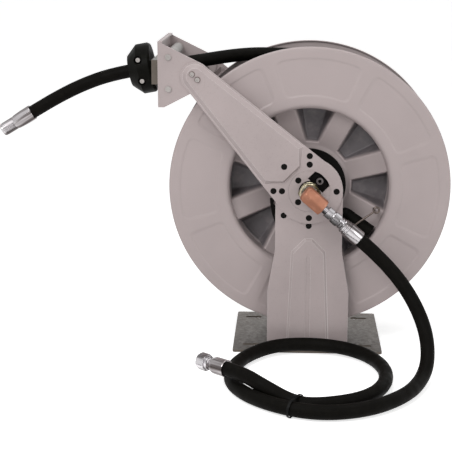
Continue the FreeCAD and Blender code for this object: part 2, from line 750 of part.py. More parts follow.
def make_roller_frame():
    """The shallow box on the web that carries the upright rollers."""
    body = new_body("roller_frame")
    half_y, half_z, wall = d.frame_width / 2, d.frame_height / 2, d.frame_sheet
    block = [(-half_y, exit_z - half_z), (half_y, exit_z - half_z),
             (half_y, exit_z + half_z), (-half_y, exit_z + half_z)]
    pad(body, draw_loop(new_sketch(body, "YZ", frame_face_x), block), d.frame_depth)
    inside = [(wall - half_y, exit_z - half_z + wall), (half_y - wall, exit_z - half_z + wall),
              (half_y - wall, exit_z + half_z - wall), (wall - half_y, exit_z + half_z - wall)]
    pocket(body, draw_loop(new_sketch(body, "YZ", web_x), inside), d.frame_depth - wall)
    reach = d.short_roller_gap
    mouth = [(-reach, exit_z - reach + wall), (reach, exit_z - reach + wall),
             (reach, exit_z + reach - wall), (-reach, exit_z + reach - wall)]
    pocket(body, draw_loop(new_sketch(body, "YZ", frame_face_x + wall), mouth), wall)
    pins = new_sketch(body, "XY", exit_z + half_z)
    for side in (-1, 1):
        draw_circle(pins, upright_x, side * d.short_roller_gap, d.short_pin_radius)
    pocket(body, pins, d.frame_height)
    return body


def make_long_rollers():
    """Two horizontal rollers behind the web, each on its own pin."""
    length = post_face - d.bracket_sheet - d.long_roller_play
    for name, side in (("upper", 1), ("lower", -1)):
        x, z = web_x + d.long_roller_inset, exit_z + side * d.long_roller_gap
        inner = d.long_pin_radius + d.run_gap
        outer = d.long_roller_radius
        edge = 1.5
        profile = [(inner, -length), (outer - edge, -length), (outer, -length + edge),
                   (outer, length - edge), (outer - edge, length), (inner, length)]
        turned(f"{name}_roller", profile, x=x, z=z)
        pin, head = d.long_pin_radius, d.long_pin_radius + 2.5
        end = post_face + 0.2
        head_end = end + 3
        turned(f"{name}_roller_pin",
               [(0, -head_end), (head, -head_end), (head, -end), (pin, -end), (pin, end),
                (head, end), (head, head_end), (0, head_end)], x=x, z=z)


def make_short_rollers():
    """Two upright rollers in the frame; they are turned about Y and stood up."""
    half = d.frame_height / 2
    wall = d.frame_sheet
    for name, side in (("front", -1), ("rear", 1)):
        inner, outer = d.short_pin_radius + d.run_gap, d.short_roller_radius
        reach = half - wall - 0.8
        roller = turned(f"{name}_upright_roller", tube_profile(inner, outer, -reach, reach))
        x, y = upright_x, side * d.short_roller_gap
        place(roller, x, y, exit_z, axis=(1, 0, 0), angle=90)
        pin, head = d.short_pin_radius, d.short_pin_radius + 1.4
        end = half + 0.05
        rod = turned(f"{name}_upright_pin",
                     [(0, -end - 1.5), (head, -end - 1.5), (head, -end), (pin, -end),
                      (pin, end), (head, end), (head, end + 1.5), (0, end + 1.5)])
        place(rod, x, y, exit_z, axis=(1, 0, 0), angle=90)


# ---------------------------------------------------------------- drum

def make_disc():
    """A pressed drum disc: flat flange with panels, round shoulder and a deep spoked dish."""
    body = new_body("front_drum_disc")
    thick, bend, bore = d.disc_sheet, d.opening_bend, d.shaft_radius + d.slip_gap
    face, rim = -disc_face, d.disc_radius
    shoulder, spoke, floor = opening_radius + bend, face + d.spoke_level, face + d.hub_level
    backing = [(bore, face), (rim, face), (rim, face + d.rim_lip),
               (rim - thick, face + d.rim_lip), (rim - thick, face + thick),
               (shoulder, face + thick), (opening_radius + thick, face + bend),
               (opening_radius + thick, spoke + thick), (d.hub_ring, floor + thick),
               (bore, floor + thick)]
    turn_profile(body, "Revolution", backing)
    press_troughs(body, "AdditiveLoft", d.disc_sheet)
    dish = [(bore, face), (shoulder, face, bend, -1), (opening_radius, face + bend),
            (opening_radius, spoke), (d.hub_ring, floor), (bore, floor)]
    turn_profile(body, "Groove", dish)
    press_troughs(body, "SubtractiveLoft", as_size(0))
    press_disc_panels(body)
    screws = new_sketch(body, "XZ", disc_face - d.spoke_level)
    for angle in range(0, 360, 60):
        draw_circle(screws, d.hub_screw_circle * cosine(angle),
                    d.hub_screw_circle * sine(angle), d.screw_radius)
    draw_circle(screws, d.pawl_circle * cosine(d.pawl_angle - d.disc_turn),
                d.pawl_circle * sine(d.pawl_angle - d.disc_turn), d.pawl_pin_radius)
    draw_circle(screws, d.elbow_circle * cosine(d.elbow_angle - d.disc_turn),
                d.elbow_circle * sine(d.elbow_angle - d.disc_turn),
                d.elbow_stub + d.slip_gap)
    pocket(body, screws, d.trough_level - d.spoke_level + d.disc_sheet * 2)
    return place(body, 0, 0, d.hub_height, axis=(0, -1, 0), angle=d.disc_turn)


def turn_profile(body, kind, profile):
    """Add or cut a profile of (radius, y) corners turned about the body's Y axis."""
    sketch = draw_loop(new_sketch(body, "XY"), profile)
    spin = body.newObject("PartDesign::" + kind, body.Name + "_" + kind.lower())
    spin.Profile = sketch
    spin.ReferenceAxis = (sketch, ["V_Axis"])
    spin.Angle = 360
    doc.recompute()
    return spin


def trough_outline(skin, toe, draft, wall):
    """A trough across the dish at 90 degrees, drawn in by its slopes and out by skin."""
    r_in, r_out = trough_inner + toe - skin, trough_outer - draft + skin
    edge = wall - skin
    across, along = sine(d.trough_half_angle), cosine(d.trough_half_angle)
    half_in = r_in * across - edge * along
    half_out = r_out * across - edge * along
    rise_in = r_in * along
    rise_out = root(r_out * r_out - half_out * half_out)
    return [(half_in, rise_in), (half_out, rise_out, r_out, 1), (-half_out, rise_out),
            (-half_in, rise_in)]


def press_troughs(body, kind, skin):
    """The ring of troughs between the spokes, larger by skin where metal is added."""
    front, floor = disc_face - d.spoke_level, disc_face - d.trough_level - skin
    flat = as_size(0)
    mouth = trough_outline(skin, flat, flat, flat)
    bottom = trough_outline(skin, d.trough_toe, d.trough_draft, d.trough_wall)
    loft = body.newObject("PartDesign::" + kind, body.Name + "_trough")
    loft.Profile = draw_loop(new_sketch(body, "XZ", front), mouth)
    loft.Sections = [draw_loop(new_sketch(body, "XZ", floor), bottom)]
    loft.Ruled = True
    doc.recompute()
    ring_pattern(body, [loft], d.disc_cells)


def press_disc_panels(body):
    """One shallow panel with round corners, repeated round the flange."""
    r_in = opening_radius + d.opening_bend + d.panel_gap
    r_out = d.disc_radius - d.panel_border
    half, c = d.panel_half_angle, d.panel_corner
    middle = 90
    in_turn = Size(math.degrees(float(c) / float(r_in)), f"({c.text} / {r_in.text} * 57.29578)")
    out_turn = Size(math.degrees(float(c) / float(r_out)),
                    f"({c.text} / {r_out.text} * 57.29578)")

    def polar(radius, angle):
        return radius * cosine(angle), radius * sine(angle)

    right, left = middle - half, middle + half
    outline = [
        (*polar(r_out, right + out_turn), r_out, 1),
        (*polar(r_out, left - out_turn), c, 1),
        polar(r_out - c, left),
        (*polar(r_in + c, left), c, 1),
        (*polar(r_in, left - in_turn), r_in, -1),
        (*polar(r_in, right + in_turn), c, 1),
        polar(r_in + c, right),
        (*polar(r_out - c, right), c, 1)]
    sketch = draw_loop(new_sketch(body, "XZ", disc_face), outline)
    panel = pocket(body, sketch, d.panel_depth)
    ring_pattern(body, [panel], d.disc_cells)


def make_drum():
    disc = make_disc()
    mirrored("rear_drum_disc", disc)
    inside = disc_face - d.disc_sheet
    turned("drum_barrel", tube_profile(d.barrel_radius - d.barrel_sheet, d.barrel_radius,
                                       -inside, inside), z=d.hub_height)


def make_shaft():
    """The hollow drum shaft with its nose for the swivel and its tail for the spring."""
    nose_end = nut_face + d.nose_length
    tail_end = case_back + d.case_depth - d.case_wall * 2
    thread = d.shaft_radius
    turned("drum_shaft",
           [(d.shaft_bore, -nose_end), (d.nose_radius, -nose_end),
            (d.nose_radius, -nut_face), (thread, -nut_face), (thread, tail_end),
            (0, tail_end), (0, d.hub_core), (d.shaft_bore, d.hub_core)],
           z=d.hub_height)


def make_ratchet():
    """The black ratchet wheel on a fixed sleeve round the shaft, with a toothed sector."""
    body = new_body("ratchet_wheel")
    bore = d.shaft_radius + d.slip_gap
    rim = new_sketch(body, "XZ", ratchet_back)
    draw_circle(rim, 0, 0, d.ratchet_radius)
    draw_circle(rim, 0, 0, bore)
    pad(body, rim, d.ratchet_width)
    sleeve = new_sketch(body, "XZ", ratchet_face)
    draw_circle(sleeve, 0, 0, d.ratchet_sleeve)
    draw_circle(sleeve, 0, 0, bore)
    pad(body, sleeve, post_back - d.bearing_flange_width - ratchet_face)
    teeth = new_sketch(body, "XZ", ratchet_back)
    outer, inner, step = d.ratchet_radius, d.ratchet_radius - d.tooth_depth, d.tooth_angle
    for tooth in range(int(float(d.tooth_count))):
        angle = d.tooth_start + step * tooth
        draw_loop(teeth, [
            ((outer + 2) * cosine(angle), (outer + 2) * sine(angle)),
            (inner * cosine(angle), inner * sine(angle)),
            ((outer + 2) * cosine(angle + step - 2), (outer + 2) * sine(angle + step - 2))])
    pocket(body, teeth, d.ratchet_width, flipped=True)
    return place(body, 0, 0, d.hub_height)


def make_drum_hub():
    """The flanged hub between the two dish floors, and the rear spacer on the shaft."""
    inner = hub_floor - d.disc_sheet
    flange, core, width = d.hub_flange, d.hub_core, d.case_wall * 2
    body = turned("drum_hub",
                  [(d.shaft_radius, -inner), (flange, -inner), (flange, width - inner),
                   (core, width - inner), (core, inner - width), (flange, inner - width),
                   (flange, inner), (d.shaft_radius, inner)], z=d.hub_height)
    screws = new_sketch(body, "XZ", inner)
    for angle in range(0, 360, 60):
        turn = angle + d.disc_turn
        draw_circle(screws, d.hub_screw_circle * cosine(turn),
                    d.hub_screw_circle * sine(turn), d.screw_radius)
    pocket(body, screws, inner * 2)
    turned("rear_spacer", tube_profile(d.shaft_radius, d.ratchet_sleeve, hub_floor,
                                       post_back - d.bearing_flange_width - d.slip_gap * 3),
           z=d.hub_height)


def make_bearings():
    """Flanged bearings in both pedestals, with the retainer plate on the swivel side."""
    bore = d.shaft_radius + d.run_gap
    flange_back = post_back - d.bearing_flange_width
    for name, side in (("front_bearing", -1), ("rear_bearing", 1)):
        profile = [(bore, side * flange_back), (d.bearing_flange, side * flange_back),
                   (d.bearing_flange, side * post_back), (d.bearing_radius, side * post_back),
                   (d.bearing_radius, side * arm_face), (bore, side * arm_face)]
        turned(name, profile, z=d.hub_height)
    body = new_body("bearing_retainer")
    plate = new_sketch(body, "XZ", post_face)
    draw_circle(plate, 0, 0, d.retainer_radius)
    draw_circle(plate, 0, 0, d.bearing_radius + d.slip_gap)
    for angle in RETAINER_SCREWS:
        draw_circle(plate, d.retainer_screw_circle * cosine(angle),
                    d.retainer_screw_circle * sine(angle), d.screw_radius + d.slip_gap)
    pad(body, plate, d.arm_sheet)
    window = slanted_window(as_size(0), d.retainer_radius + d.window_overrun)
    pocket(body, draw_loop(new_sketch(body, "XZ", arm_face), window), d.arm_sheet)
    place(body, 0, 0, d.hub_height)
    turned("rear_retainer", tube_profile(d.bearing_radius + d.slip_gap, d.retainer_radius,
                                         post_face, arm_face), z=d.hub_height)


def make_shaft_nut():
    """The zinc-plated nut on its threaded collar, which hold the shaft."""
    start = Vector(0, -float(washer_face), float(d.hub_height))
    out = Vector(0, -1, 0)
    radius, pitch, width = float(d.washer_radius), float(d.collar_pitch), float(d.washer_width)
    profile = [Vector(0, 0, 0), Vector(radius - pitch / 2, 0, 0)]
    turns = int(width / pitch)
    for turn in range(turns):
        profile.append(Vector(radius, 0, pitch * (turn + 0.5)))
        profile.append(Vector(radius - pitch / 2, 0, pitch * (turn + 1)))
    profile += [Vector(radius - pitch / 2, 0, width), Vector(0, 0, width)]
    ridged = Part.Face(Part.makePolygon(profile + profile[:1]))
    collar = ridged.revolve(Vector(0, 0, 0), Vector(0, 0, 1), 360)
    collar.Placement = Placement(start, Rotation(Vector(0, 0, 1), out))
    hex_start = Vector(0, -float(nut_back), float(d.hub_height))
    nut = hexagon(d.shaft_nut_flats, d.shaft_nut_width, hex_start, out)
    round_off = Part.makeCone(float(d.shaft_nut_flats) / 2 + 8,
                              float(d.shaft_nut_flats) / 2 - 1,
                              float(d.shaft_nut_width), hex_start, out)
    nut = nut.common(round_off)
    bore = cylinder(d.shaft_radius, nut_face, Vector(0, 0, float(d.hub_height)), out)
    keep("shaft_nut", collar.fuse(nut).cut(bore).removeSplitter())


# ---------------------------------------------------------------- pawl

def make_pawl():
    """The latch pawl beside the ratchet wheel, its stud and its spring's anchor."""
    angle, centre = float(d.pawl_angle), float(d.pawl_circle)
    width, pin = float(d.pawl_width), float(d.pawl_pin_radius)
    front = float(ratchet_face) - (float(d.ratchet_width) - width) / 2
    rim = float(d.ratchet_radius) + float(d.pawl_play)
    pivot = round_hub(angle, centre, -front)

    def spot(radius, turn):
        return round_hub(angle + turn, radius, -front)

    heel, toe = centre + pin * 2, centre - pin * 2
    tip = [spot(rim, -41), spot(rim + 9, -44)]
    back = Part.Arc(tip[1], spot(rim + 19, -28), spot(rim + 33, -12)).toShape()
    shoulder = Part.Arc(spot(rim + 33, -12), spot(heel, -4), spot(centre + pin, 6)).toShape()
    end = Part.Arc(spot(centre + pin, 6), spot(centre - pin, 7), spot(toe, 2)).toShape()
    belly = Part.Arc(spot(toe, 2), spot(rim + 8, -18), spot(rim + 7, -34)).toShape()
    hook = Part.makeLine(spot(rim + 7, -34), tip[0])
    wire = Part.Wire([Part.makeLine(tip[0], tip[1]), back, shoulder, end, belly, hook])
    arm = Part.Face(wire).extrude(Vector(0, width, 0))
    bore = cylinder(pin + float(d.run_gap), width + 4, pivot - Vector(0, 2, 0), Vector(0, 1, 0))
    keep("latch_pawl", arm.cut(bore))
    seat = dish_level(centre + pin + 2)
    head = cylinder(pin + 2.5, 2.5, pivot - Vector(0, 2.9, 0), Vector(0, 1, 0))
    stud = cylinder(pin, front - float(hub_floor) + 1, pivot - Vector(0, 1, 0), Vector(0, 1, 0))
    under = width + float(d.slip_gap)
    collar = cylinder(pin + 2, front - under - seat, pivot + Vector(0, under, 0), Vector(0, 1, 0))
    keep("pawl_stud", stud.fuse([head, collar]).removeSplitter())


# ---------------------------------------------------------------- spring motor

def make_spring_motor():
    """The closed spring case outside the rear pedestal, with mainspring and arbor."""
    near = case_back
    far = near + d.case_depth
    wall, radius, flange = d.case_wall, d.case_radius, d.case_flange
    open_r = d.bearing_radius + d.slip_gap
    neck = d.retainer_radius
    turned("spring_case",
           [(open_r, arm_face), (neck, arm_face), (neck, near), (radius + flange, near),
            (radius + flange, near + wall), (radius, near + wall), (radius, far),
            (radius - wall, far), (radius - wall, near + wall), (open_r, near + wall)],
           z=d.hub_height)
    turned("spring_cover",
           [(0, far), (radius, far), (radius, far + wall), (radius * 0.8, far + wall),
            (radius * 0.75, far + wall + 3), (0, far + wall + 3)], z=d.hub_height)
    strip_near = near + wall + 3
    turned("spring_arbor", tube_profile(d.shaft_radius, d.arbor_radius, strip_near,
                                        strip_near + d.strip_width), z=d.hub_height)
    make_mainspring(float(strip_near))


def make_mainspring(near):
    """A spiral strip of half turns, each a little wider than the one before."""
    inner = float(d.arbor_radius) + float(d.strip_sheet) / 2 + 0.5
    outer = float(d.case_radius) - float(d.case_wall) - float(d.strip_sheet) / 2 - 0.6
    halves = int(float(d.strip_turns)) * 2
    step = (outer - inner) / halves
    thick = float(d.strip_sheet) / 2
    sides = []
    for offset in (-thick, thick):
        edges = []
        x, sign = -inner - offset, 1
        for index in range(halves):
            radius = inner + offset + step * index
            end = x + sign * (2 * radius)
            middle = Vector((x + end) / 2, near, sign * radius)
            edges.append(Part.Arc(Vector(x, near, 0), middle, Vector(end, near, 0)).toShape())
            x, sign = end, -sign
        sides.append(edges)
    start = Part.makeLine(sides[0][0].Vertexes[0].Point, sides[1][0].Vertexes[0].Point)
    ends = [edges[-1].Vertexes[-1].Point for edges in sides]
    close = Part.makeLine(ends[0], ends[1])
    wire = Part.Wire(Part.__sortEdges__(sides[0] + sides[1] + [start, close]))
    strip = Part.Face(wire).extrude(Vector(0, float(d.strip_width), 0))
    strip.translate(Vector(0, 0, float(d.hub_height)))
    keep("mainspring", strip)


# ---------------------------------------------------------------- swivel and fittings

def spin_direction(angle):
    return Vector(math.cos(math.radians(float(angle))), 0, math.sin(math.radians(float(angle))))


def make_swivel():
    """The brass swivel body: a neck round the shaft's nose and a hexagonal outlet."""
    axis_start = Vector(0, -float(nut_face) - 0.6, float(d.hub_height))
    out = Vector(0, -1, 0)
    neck = cylinder(float(d.swivel_flats) / 2 - 1, d.swivel_axis_setback, axis_start, out)
    centre = Vector(0, -float(swivel_plane), float(d.hub_height))
    direction = spin_direction(d.swivel_angle)
    bar_start = centre - direction * float(d.swivel_tail)
    bar = hexagon(d.swivel_flats, d.swivel_tail + d.swivel_reach, bar_start, direction)
    nose = cylinder(d.nose_radius + d.run_gap, d.nose_length + 1, axis_start, out)
    way = cylinder(d.shaft_bore, float(d.swivel_reach) + 1, centre, direction)
    inner = cylinder(d.shaft_bore, d.swivel_axis_setback, axis_start, out)
    keep("swivel_body", neck.fuse(bar).cut(nose).cut(way).cut(inner).removeSplitter())
    return centre, direction


def make_inlet_fittings(centre, direction):
    """Adapter, union nut, stem and ferrule in line with the swivel's outlet."""
    bore = cylinder(float(d.shaft_bore) - 2, 200, centre, direction)
    at = centre + direction * float(d.swivel_reach)
    neck = float(d.adapter_length) - float(d.adapter_hex)
    adapter = hexagon(d.adapter_flats, d.adapter_hex, at + direction * neck, direction)
    adapter = adapter.fuse(cylinder(d.stem_radius, d.adapter_length, at, direction))
    keep("inlet_adapter", adapter.cut(bore).removeSplitter())
    at = at + direction * float(d.adapter_length)
    union = hexagon(d.union_flats, d.union_hex, at, direction)
    union = union.fuse(cylinder(d.stem_radius, d.union_length, at, direction))
    keep("inlet_union_nut", union.cut(bore).removeSplitter())
    at = at + direction * float(d.union_length)
    ferrule = ferrule_shape(at, direction)
    keep("inlet_ferrule", ferrule)
    return at + direction * float(d.ferrule_length)


def ferrule_shape(at, direction):
    """A crimped ferrule from its fitting end, with the hose's seat at its far end."""
    length, radius = float(d.ferrule_length), float(d.ferrule_radius)
    shoulder = Part.makeCone(radius - 4, radius, 5, at, direction)
    barrel = cylinder(radius, length - 5, at + direction * 5, direction)
    way = cylinder(float(d.shaft_bore) - 2, length + 2, at - direction, direction)
    depth = float(d.crimp_depth) + float(d.slip_gap)
    seat = cylinder(float(hose_radius) + 0.2, depth + 1,
                    at + direction * (length - depth), direction)
    return shoulder.fuse(barrel).cut(way).cut(seat).removeSplitter()


# ---------------------------------------------------------------- hoses

def route_edges(route, label=None):
    """Straight runs joined by tangent arcs as large as the runs allow."""
    points = [Vector(*p) for p in route]
    edges = []
    last = points[0]
    for before, corner, after in zip(points, points[1:], points[2:]):
        into, out = (corner - before), (after - corner)
        turn = into.getAngle(out)
        setback = 0.45 * min(into.Length, out.Length)
        radius = setback / math.tan(turn / 2)
        if label:
            print(f"{label} turn {math.degrees(turn):.0f} deg, radius {radius:.0f} mm")
        into.normalize()
        out.normalize()
        begin, end = corner - into * setback, corner + out * setback
        inward = (out - into).normalize()
        centre = corner + inward * (radius / math.cos(turn / 2))
        edges.append(Part.LineSegment(last, begin).toShape())
        edges.append(Part.Arc(begin, centre - inward * radius, end).toShape())
        last = end
    edges.append(Part.LineSegment(last, points[-1]).toShape())
    return edges


def hose_tube(route, label):
    return sweep_round(route_edges(route, label), float(hose_radius), label)


def sweep_round(edges, radius, label):
    """Sweep a circle along tangent edges and compare the volume with its length."""
    path = Part.Wire(edges)
    start = edges[0].Vertexes[0].Point
    heading = edges[0].tangentAt(edges[0].FirstParameter)
    ring = Part.Wire(Part.makeCircle(radius, start, heading))
    shell = Part.BRepOffsetAPI.MakePipeShell(path)
    shell.add(ring)
    shell.build()
    shell.makeSolid()
    tube = shell.shape()
    expected = math.pi * radius * radius * path.Length
    print(f"{label} length {path.Length:.0f} mm, volume ratio {tube.Volume / expected:.4f}")
    return tube


def winding_point(turns, level):
    """A point of the wound layer: turns counted from the take-off, back along the drum."""
    radius = float(winding_radius)
    angle = math.radians(90) - 2 * math.pi * turns
    side = float(level) - float(d.winding_pitch) * turns
    return Vector(radius * math.cos(angle), side, float(d.hub_height) + radius * math.sin(angle))


def biarc(start, start_way, end, end_way):
    """Two tangent arcs between two points with given directions."""
    chord = end - start
    ways = start_way + end_way
    denominator = 2 * (1 - start_way.dot(end_way))
    dot = chord.dot(ways)
    if denominator < 1e-9:
        reach = chord.dot(chord) / (4 * chord.dot(end_way))
    else:
        reach = (-dot + math.sqrt(dot * dot + denominator * chord.dot(chord))) / denominator
    first = start + start_way * reach
    second = end - end_way * reach
    joint = (first + second) / 2
    edges = []
    for a, corner, b in ((start, first, joint), (joint, second, end)):
        into, out = (corner - a), (b - corner)
        turn = into.getAngle(out)
        into.normalize()
        out.normalize()
        radius = (corner - a).Length / math.tan(turn / 2)
        inward = (out - into).normalize()
        centre = corner + inward * (radius / math.cos(turn / 2))
        edges.append(Part.Arc(a, centre - inward * radius, b).toShape())
    return edges


def winding_level():
    """The rearmost turn's place along the drum."""
    return float(disc_face - d.disc_sheet - d.rim_lip - hose_radius)


def make_winding():
    """The hose on the drum: a plain core and one unbroken outer layer over it."""
    inside = disc_face - d.disc_sheet - d.rim_lip
    core_radius = winding_radius - hose_radius - d.winding_gap
    turned("wound_hose_core", tube_profile(d.barrel_radius + d.slip_gap, core_radius,
                                           -inside, inside), z=d.hub_height)
    level = winding_level()
    usable = 2 * level
    turns = math.floor(usable / float(d.winding_pitch) * 4) / 4
    quarters = int(turns * 4)
    samples = [winding_point(q / 4, level) for q in range(quarters + 1)]
    pitch = float(d.winding_pitch) / (2 * math.pi * float(winding_radius))
    ways = []
    for q in range(quarters + 1):
        angle = math.radians(90) - math.pi / 2 * q
        ways.append(Vector(math.sin(angle), -pitch, -math.cos(angle)).normalize())
    edges = []
    for q in range(quarters):
        edges += biarc(samples[q], ways[q], samples[q + 1], ways[q + 1])
    keep("wound_hose", sweep_round(edges, float(hose_radius), "wound_hose"))
    gap = float(d.winding_pitch) * math.cos(math.atan(pitch)) - float(d.hose_diameter)
    print(f"wound_hose {turns} turns, least gap between turns {gap:.2f} mm")


def dish_level(radius):
    """How far the dish's spoke side lies in front of Y = 0 at a radius."""
    return float(hub_floor) + max(0, radius - float(d.hub_ring)) * float(spoke_rise)


def make_drum_inlet():
    """The elbow through the drum's disc, its hose to the dish wall and the rod over it."""
    level = hub_floor + d.elbow_lift
    middle = round_hub(d.elbow_angle, d.elbow_circle, -level)
    ball = Part.makeSphere(float(d.elbow_radius), middle)
    stub = cylinder(d.elbow_stub, float(disc_face - d.elbow_stub) - float(d.trough_level)
                    + float(level), middle, Vector(0, 1, 0))
    elbow = ball.fuse(stub).removeSplitter()
    keep("drum_elbow", elbow)
    flat = spin_direction(d.dish_hose_angle)
    rise = math.radians(float(d.dish_hose_rise))
    direction = flat * math.cos(rise) - Vector(0, math.sin(rise), 0)
    hose = cylinder(hose_radius, opening_radius, middle, direction)
    dish = cylinder(opening_radius - d.slip_gap, d.drum_width,
                    Vector(0, -float(disc_face), float(d.hub_height)), Vector(0, 1, 0))
    keep("drum_inlet_hose", hose.cut(elbow).common(dish))
    make_hose_clamp(middle + direction * float(d.clamp_place))


def make_hose_clamp(middle):
    """A bent rod over the dish hose: one foot in a trough, the other on a spoke."""
    across = spin_direction(d.clamp_angle)
    radius = float(d.clamp_rod_radius)
    crest = middle - Vector(0, float(hose_radius) * 1.02 + radius + 0.4, 0)
    tops = [crest - across * (float(hose_radius) + radius * 2.4),
            crest + across * float(d.clamp_reach)]
    far_reach = math.hypot(tops[1].x, tops[1].z - float(d.hub_height))
    floor = float(disc_face - d.trough_level)
    feet = [Vector(tops[0].x, -floor - 0.2, tops[0].z),
            Vector(tops[1].x, -dish_level(far_reach + radius) - 0.2, tops[1].z)]
    corners = [feet[0], tops[0], tops[1], feet[1]]
    bend = radius * 2.5
    edges, last = [], corners[0]
    for before, corner, after in zip(corners, corners[1:], corners[2:]):
        into, out = (corner - before).normalize(), (after - corner).normalize()
        begin, end = corner - into * bend, corner + out * bend
        edges.append(Part.makeLine(last, begin))
        top = corner + (out - into) * bend * (1 - math.sqrt(0.5))
        edges.append(Part.Arc(begin, top, end).toShape())
        last = end
    edges.append(Part.makeLine(last, corners[-1]))
    rod = sweep_round(edges, radius, "hose_clamp")
    reach = float(d.clamp_eye_radius)
    eye = Part.makeTorus(reach, radius, tops[1] + across * (reach - radius * 0.5),
                         Vector(0, 1, 0))
    keep("hose_clamp", rod.fuse(eye).removeSplitter())


# The hoses' points, chosen by hand along the photographed runs.
INLET_ROUTE = [
    (150.4, -175.1, 223.1), (207, -205, 160), (240, -245, 95), (243, -300, 45),
    (226, -345, 16.5), (186, -436, 16.5), (110, -513, 16.5), (10, -538, 16.5), (-88, -484, 16.5),
    (-150, -400, 16.5), (-158, -300, 16.5), (-125, -205, 16.5), (-60, -146, 20.5),
    (40, -142, 20.5), (118, -180, 16.5), (158, -270, 16.5), (155, -370, 16.5), (110, -455, 16.5),
    (20, -495, 16.5), (-30, -484, 16.5), (-92, -446, 38), (-128, -418, 49.5)]
INLET_END = (-160, -391, 49.5)
TAKEOFF_ROUTE = [(-296, 0, 604.3), (-240, 12, 612.5), (-180, 38, 620.5), (-120, 60, 624.5),
                 (-60, 67.1, 622)]
OUTLET_ROUTE = [(-498, 0, 559.5), (-555, 0, 531), (-609, 0, 499)]
OUTLET_END = (-683, 0, 454)


def make_inlet_hose(fitting_end, direction):
    """The inlet hose in one loop and a half on the floor, and its swivel nut."""
    start = fitting_end - direction * float(d.crimp_depth)
    end = Vector(*INLET_END)
    heading = (end - Vector(*INLET_ROUTE[-1])).normalize()
    last = end + heading * float(d.crimp_depth)
    route = [start] + INLET_ROUTE + [last]
    keep("inlet_hose", hose_tube(route, "inlet_hose"))
    tail = end + heading * float(d.ferrule_length)
    nut = hexagon(d.end_flats, d.end_length, tail + heading * 0.3, heading)
    edge = Part.makeCone(float(d.end_flats) / 2 + 3.4, float(d.end_flats) / 2 - 0.4,
                         float(d.end_length), tail + heading * 0.3, heading)
    bore = cylinder(float(d.stem_radius) + 3, float(d.end_length) + 2, tail, heading)
    keep("inlet_end_nut", nut.common(edge).cut(bore).removeSplitter())
    stem = cylinder(float(d.stem_radius) + 3 - float(d.run_gap), float(d.end_length) * 0.6,
                    tail - heading * 4, heading)
    way = cylinder(float(d.stem_radius) - 1, 200, tail - heading * 50, heading)
    ferrule = ferrule_shape(tail, heading * -1)
    keep("inlet_end_ferrule", ferrule.fuse(stem).cut(way).removeSplitter())
    make_cable_tie(route_edges(route, "cable_tie"))


def make_outlet():
    """The hose through the rollers and the stop, and its free end."""
    exit_x, exit_height = float(frame_face_x), float(exit_z)
    slope = math.radians(float(d.stop_angle))
    along = Vector(-math.cos(slope), 0, -math.sin(slope))
    stop = Vector(exit_x - float(d.stop_setback), 0, exit_height - float(d.stop_drop))
    half = float(d.stop_length) / 2
    entry, leave = stop - along * half, stop + along * half
    take = [Vector(*p) for p in TAKEOFF_ROUTE]
    split = take[0] + (take[1] - take[0]) * 0.35
    keep("hose_run", hose_tube([leave, entry, take[0], split], "hose_run"))
    drum_end = winding_point(0, winding_level())
    keep("hose_takeoff", hose_tube([split] + take[1:] + [drum_end], "hose_takeoff"))
    end = Vector(*OUTLET_ROUTE[-1])
    heading = (Vector(*OUTLET_END) - end).normalize()
    last = end + heading * float(d.crimp_depth)
    lead = leave + along * float(d.outlet_lead)
    free = [leave, lead] + [Vector(*p) for p in OUTLET_ROUTE] + [last]
    keep("outlet_hose", hose_tube(free, "outlet_hose"))
    tail = end + heading * float(d.ferrule_length)
    stem = cylinder(d.tip_radius, float(d.tip_length), tail, heading)
    collar = hexagon(d.tip_collar_flats, 8, tail, heading)
    way = cylinder(float(d.stem_radius) - 1, 200, tail - heading * 50, heading)
    groove = float(d.tip_pitch)
    for ring in range(int(float(d.tip_length - 12) / groove)):
        at = tail + heading * (10 + ring * groove)
        band = cylinder(float(d.tip_radius) + 1, groove / 2, at, heading)
        core = cylinder(float(d.tip_radius) - 1, groove / 2, at, heading)
        stem = stem.cut(band.cut(core))
    ferrule = ferrule_shape(tail, heading * -1)
    keep("outlet_fitting", ferrule.fuse(stem.fuse(collar)).cut(way).removeSplitter())
    make_hose_stop(stop, along)
    return tail, heading


def make_hose_stop(stop, along):
    """The two clamped halves of the hose stop, with two bolts through them."""
    half, radius = float(d.stop_length) / 2, float(d.stop_radius)
    bore = float(hose_radius) + float(d.slip_gap)
    profile = [Vector(bore, 0, -half), Vector(radius * 0.93, 0, -half),
               Vector(radius, 0, -half * 0.8), Vector(radius, 0, half * 0.15),
               Vector(radius * 0.62, 0, half), Vector(bore, 0, half)]
    wire = Part.makePolygon(profile + profile[:1])
    whole = Part.Face(wire).revolve(Vector(0, 0, 0), Vector(0, 0, 1), 360)
    whole.Placement = Placement(stop, Rotation(Vector(0, 0, 1), along))
    across = Vector(along.z, 0, -along.x)
    bolts = []
    for side in (-1, 1):
        at = stop + across * (side * float(d.stop_bolt_offset))
        hole = cylinder(float(d.screw_radius) + float(d.slip_gap), radius * 2 + 2,
                        at + Vector(0, radius + 1, 0), Vector(0, -1, 0))
        whole = whole.cut(hole)
        depth = math.sqrt(radius ** 2 - float(d.stop_bolt_offset) ** 2) * 0.78
        for face in (-1, 1):
            seat = cylinder(float(d.stop_seat_radius), radius,
                            at + Vector(0, face * depth, 0), Vector(0, face, 0))
            whole = whole.cut(seat)
        bolts.append(bolt(at + Vector(0, -depth, 0), Vector(0, 1, 0), depth * 2, nut=True))
    for name, side in (("front", -1), ("rear", 1)):
        block = Part.makeBox(radius * 4, radius * 2, radius * 4)
        block.translate(Vector(stop.x - radius * 2, -radius, stop.z - radius * 2))
        block.translate(Vector(0, side * (radius + float(d.stop_gap) / 2), 0))
        keep(f"{name}_hose_stop", whole.common(block))
    keep("hose_stop_bolts", Part.makeCompound(bolts))


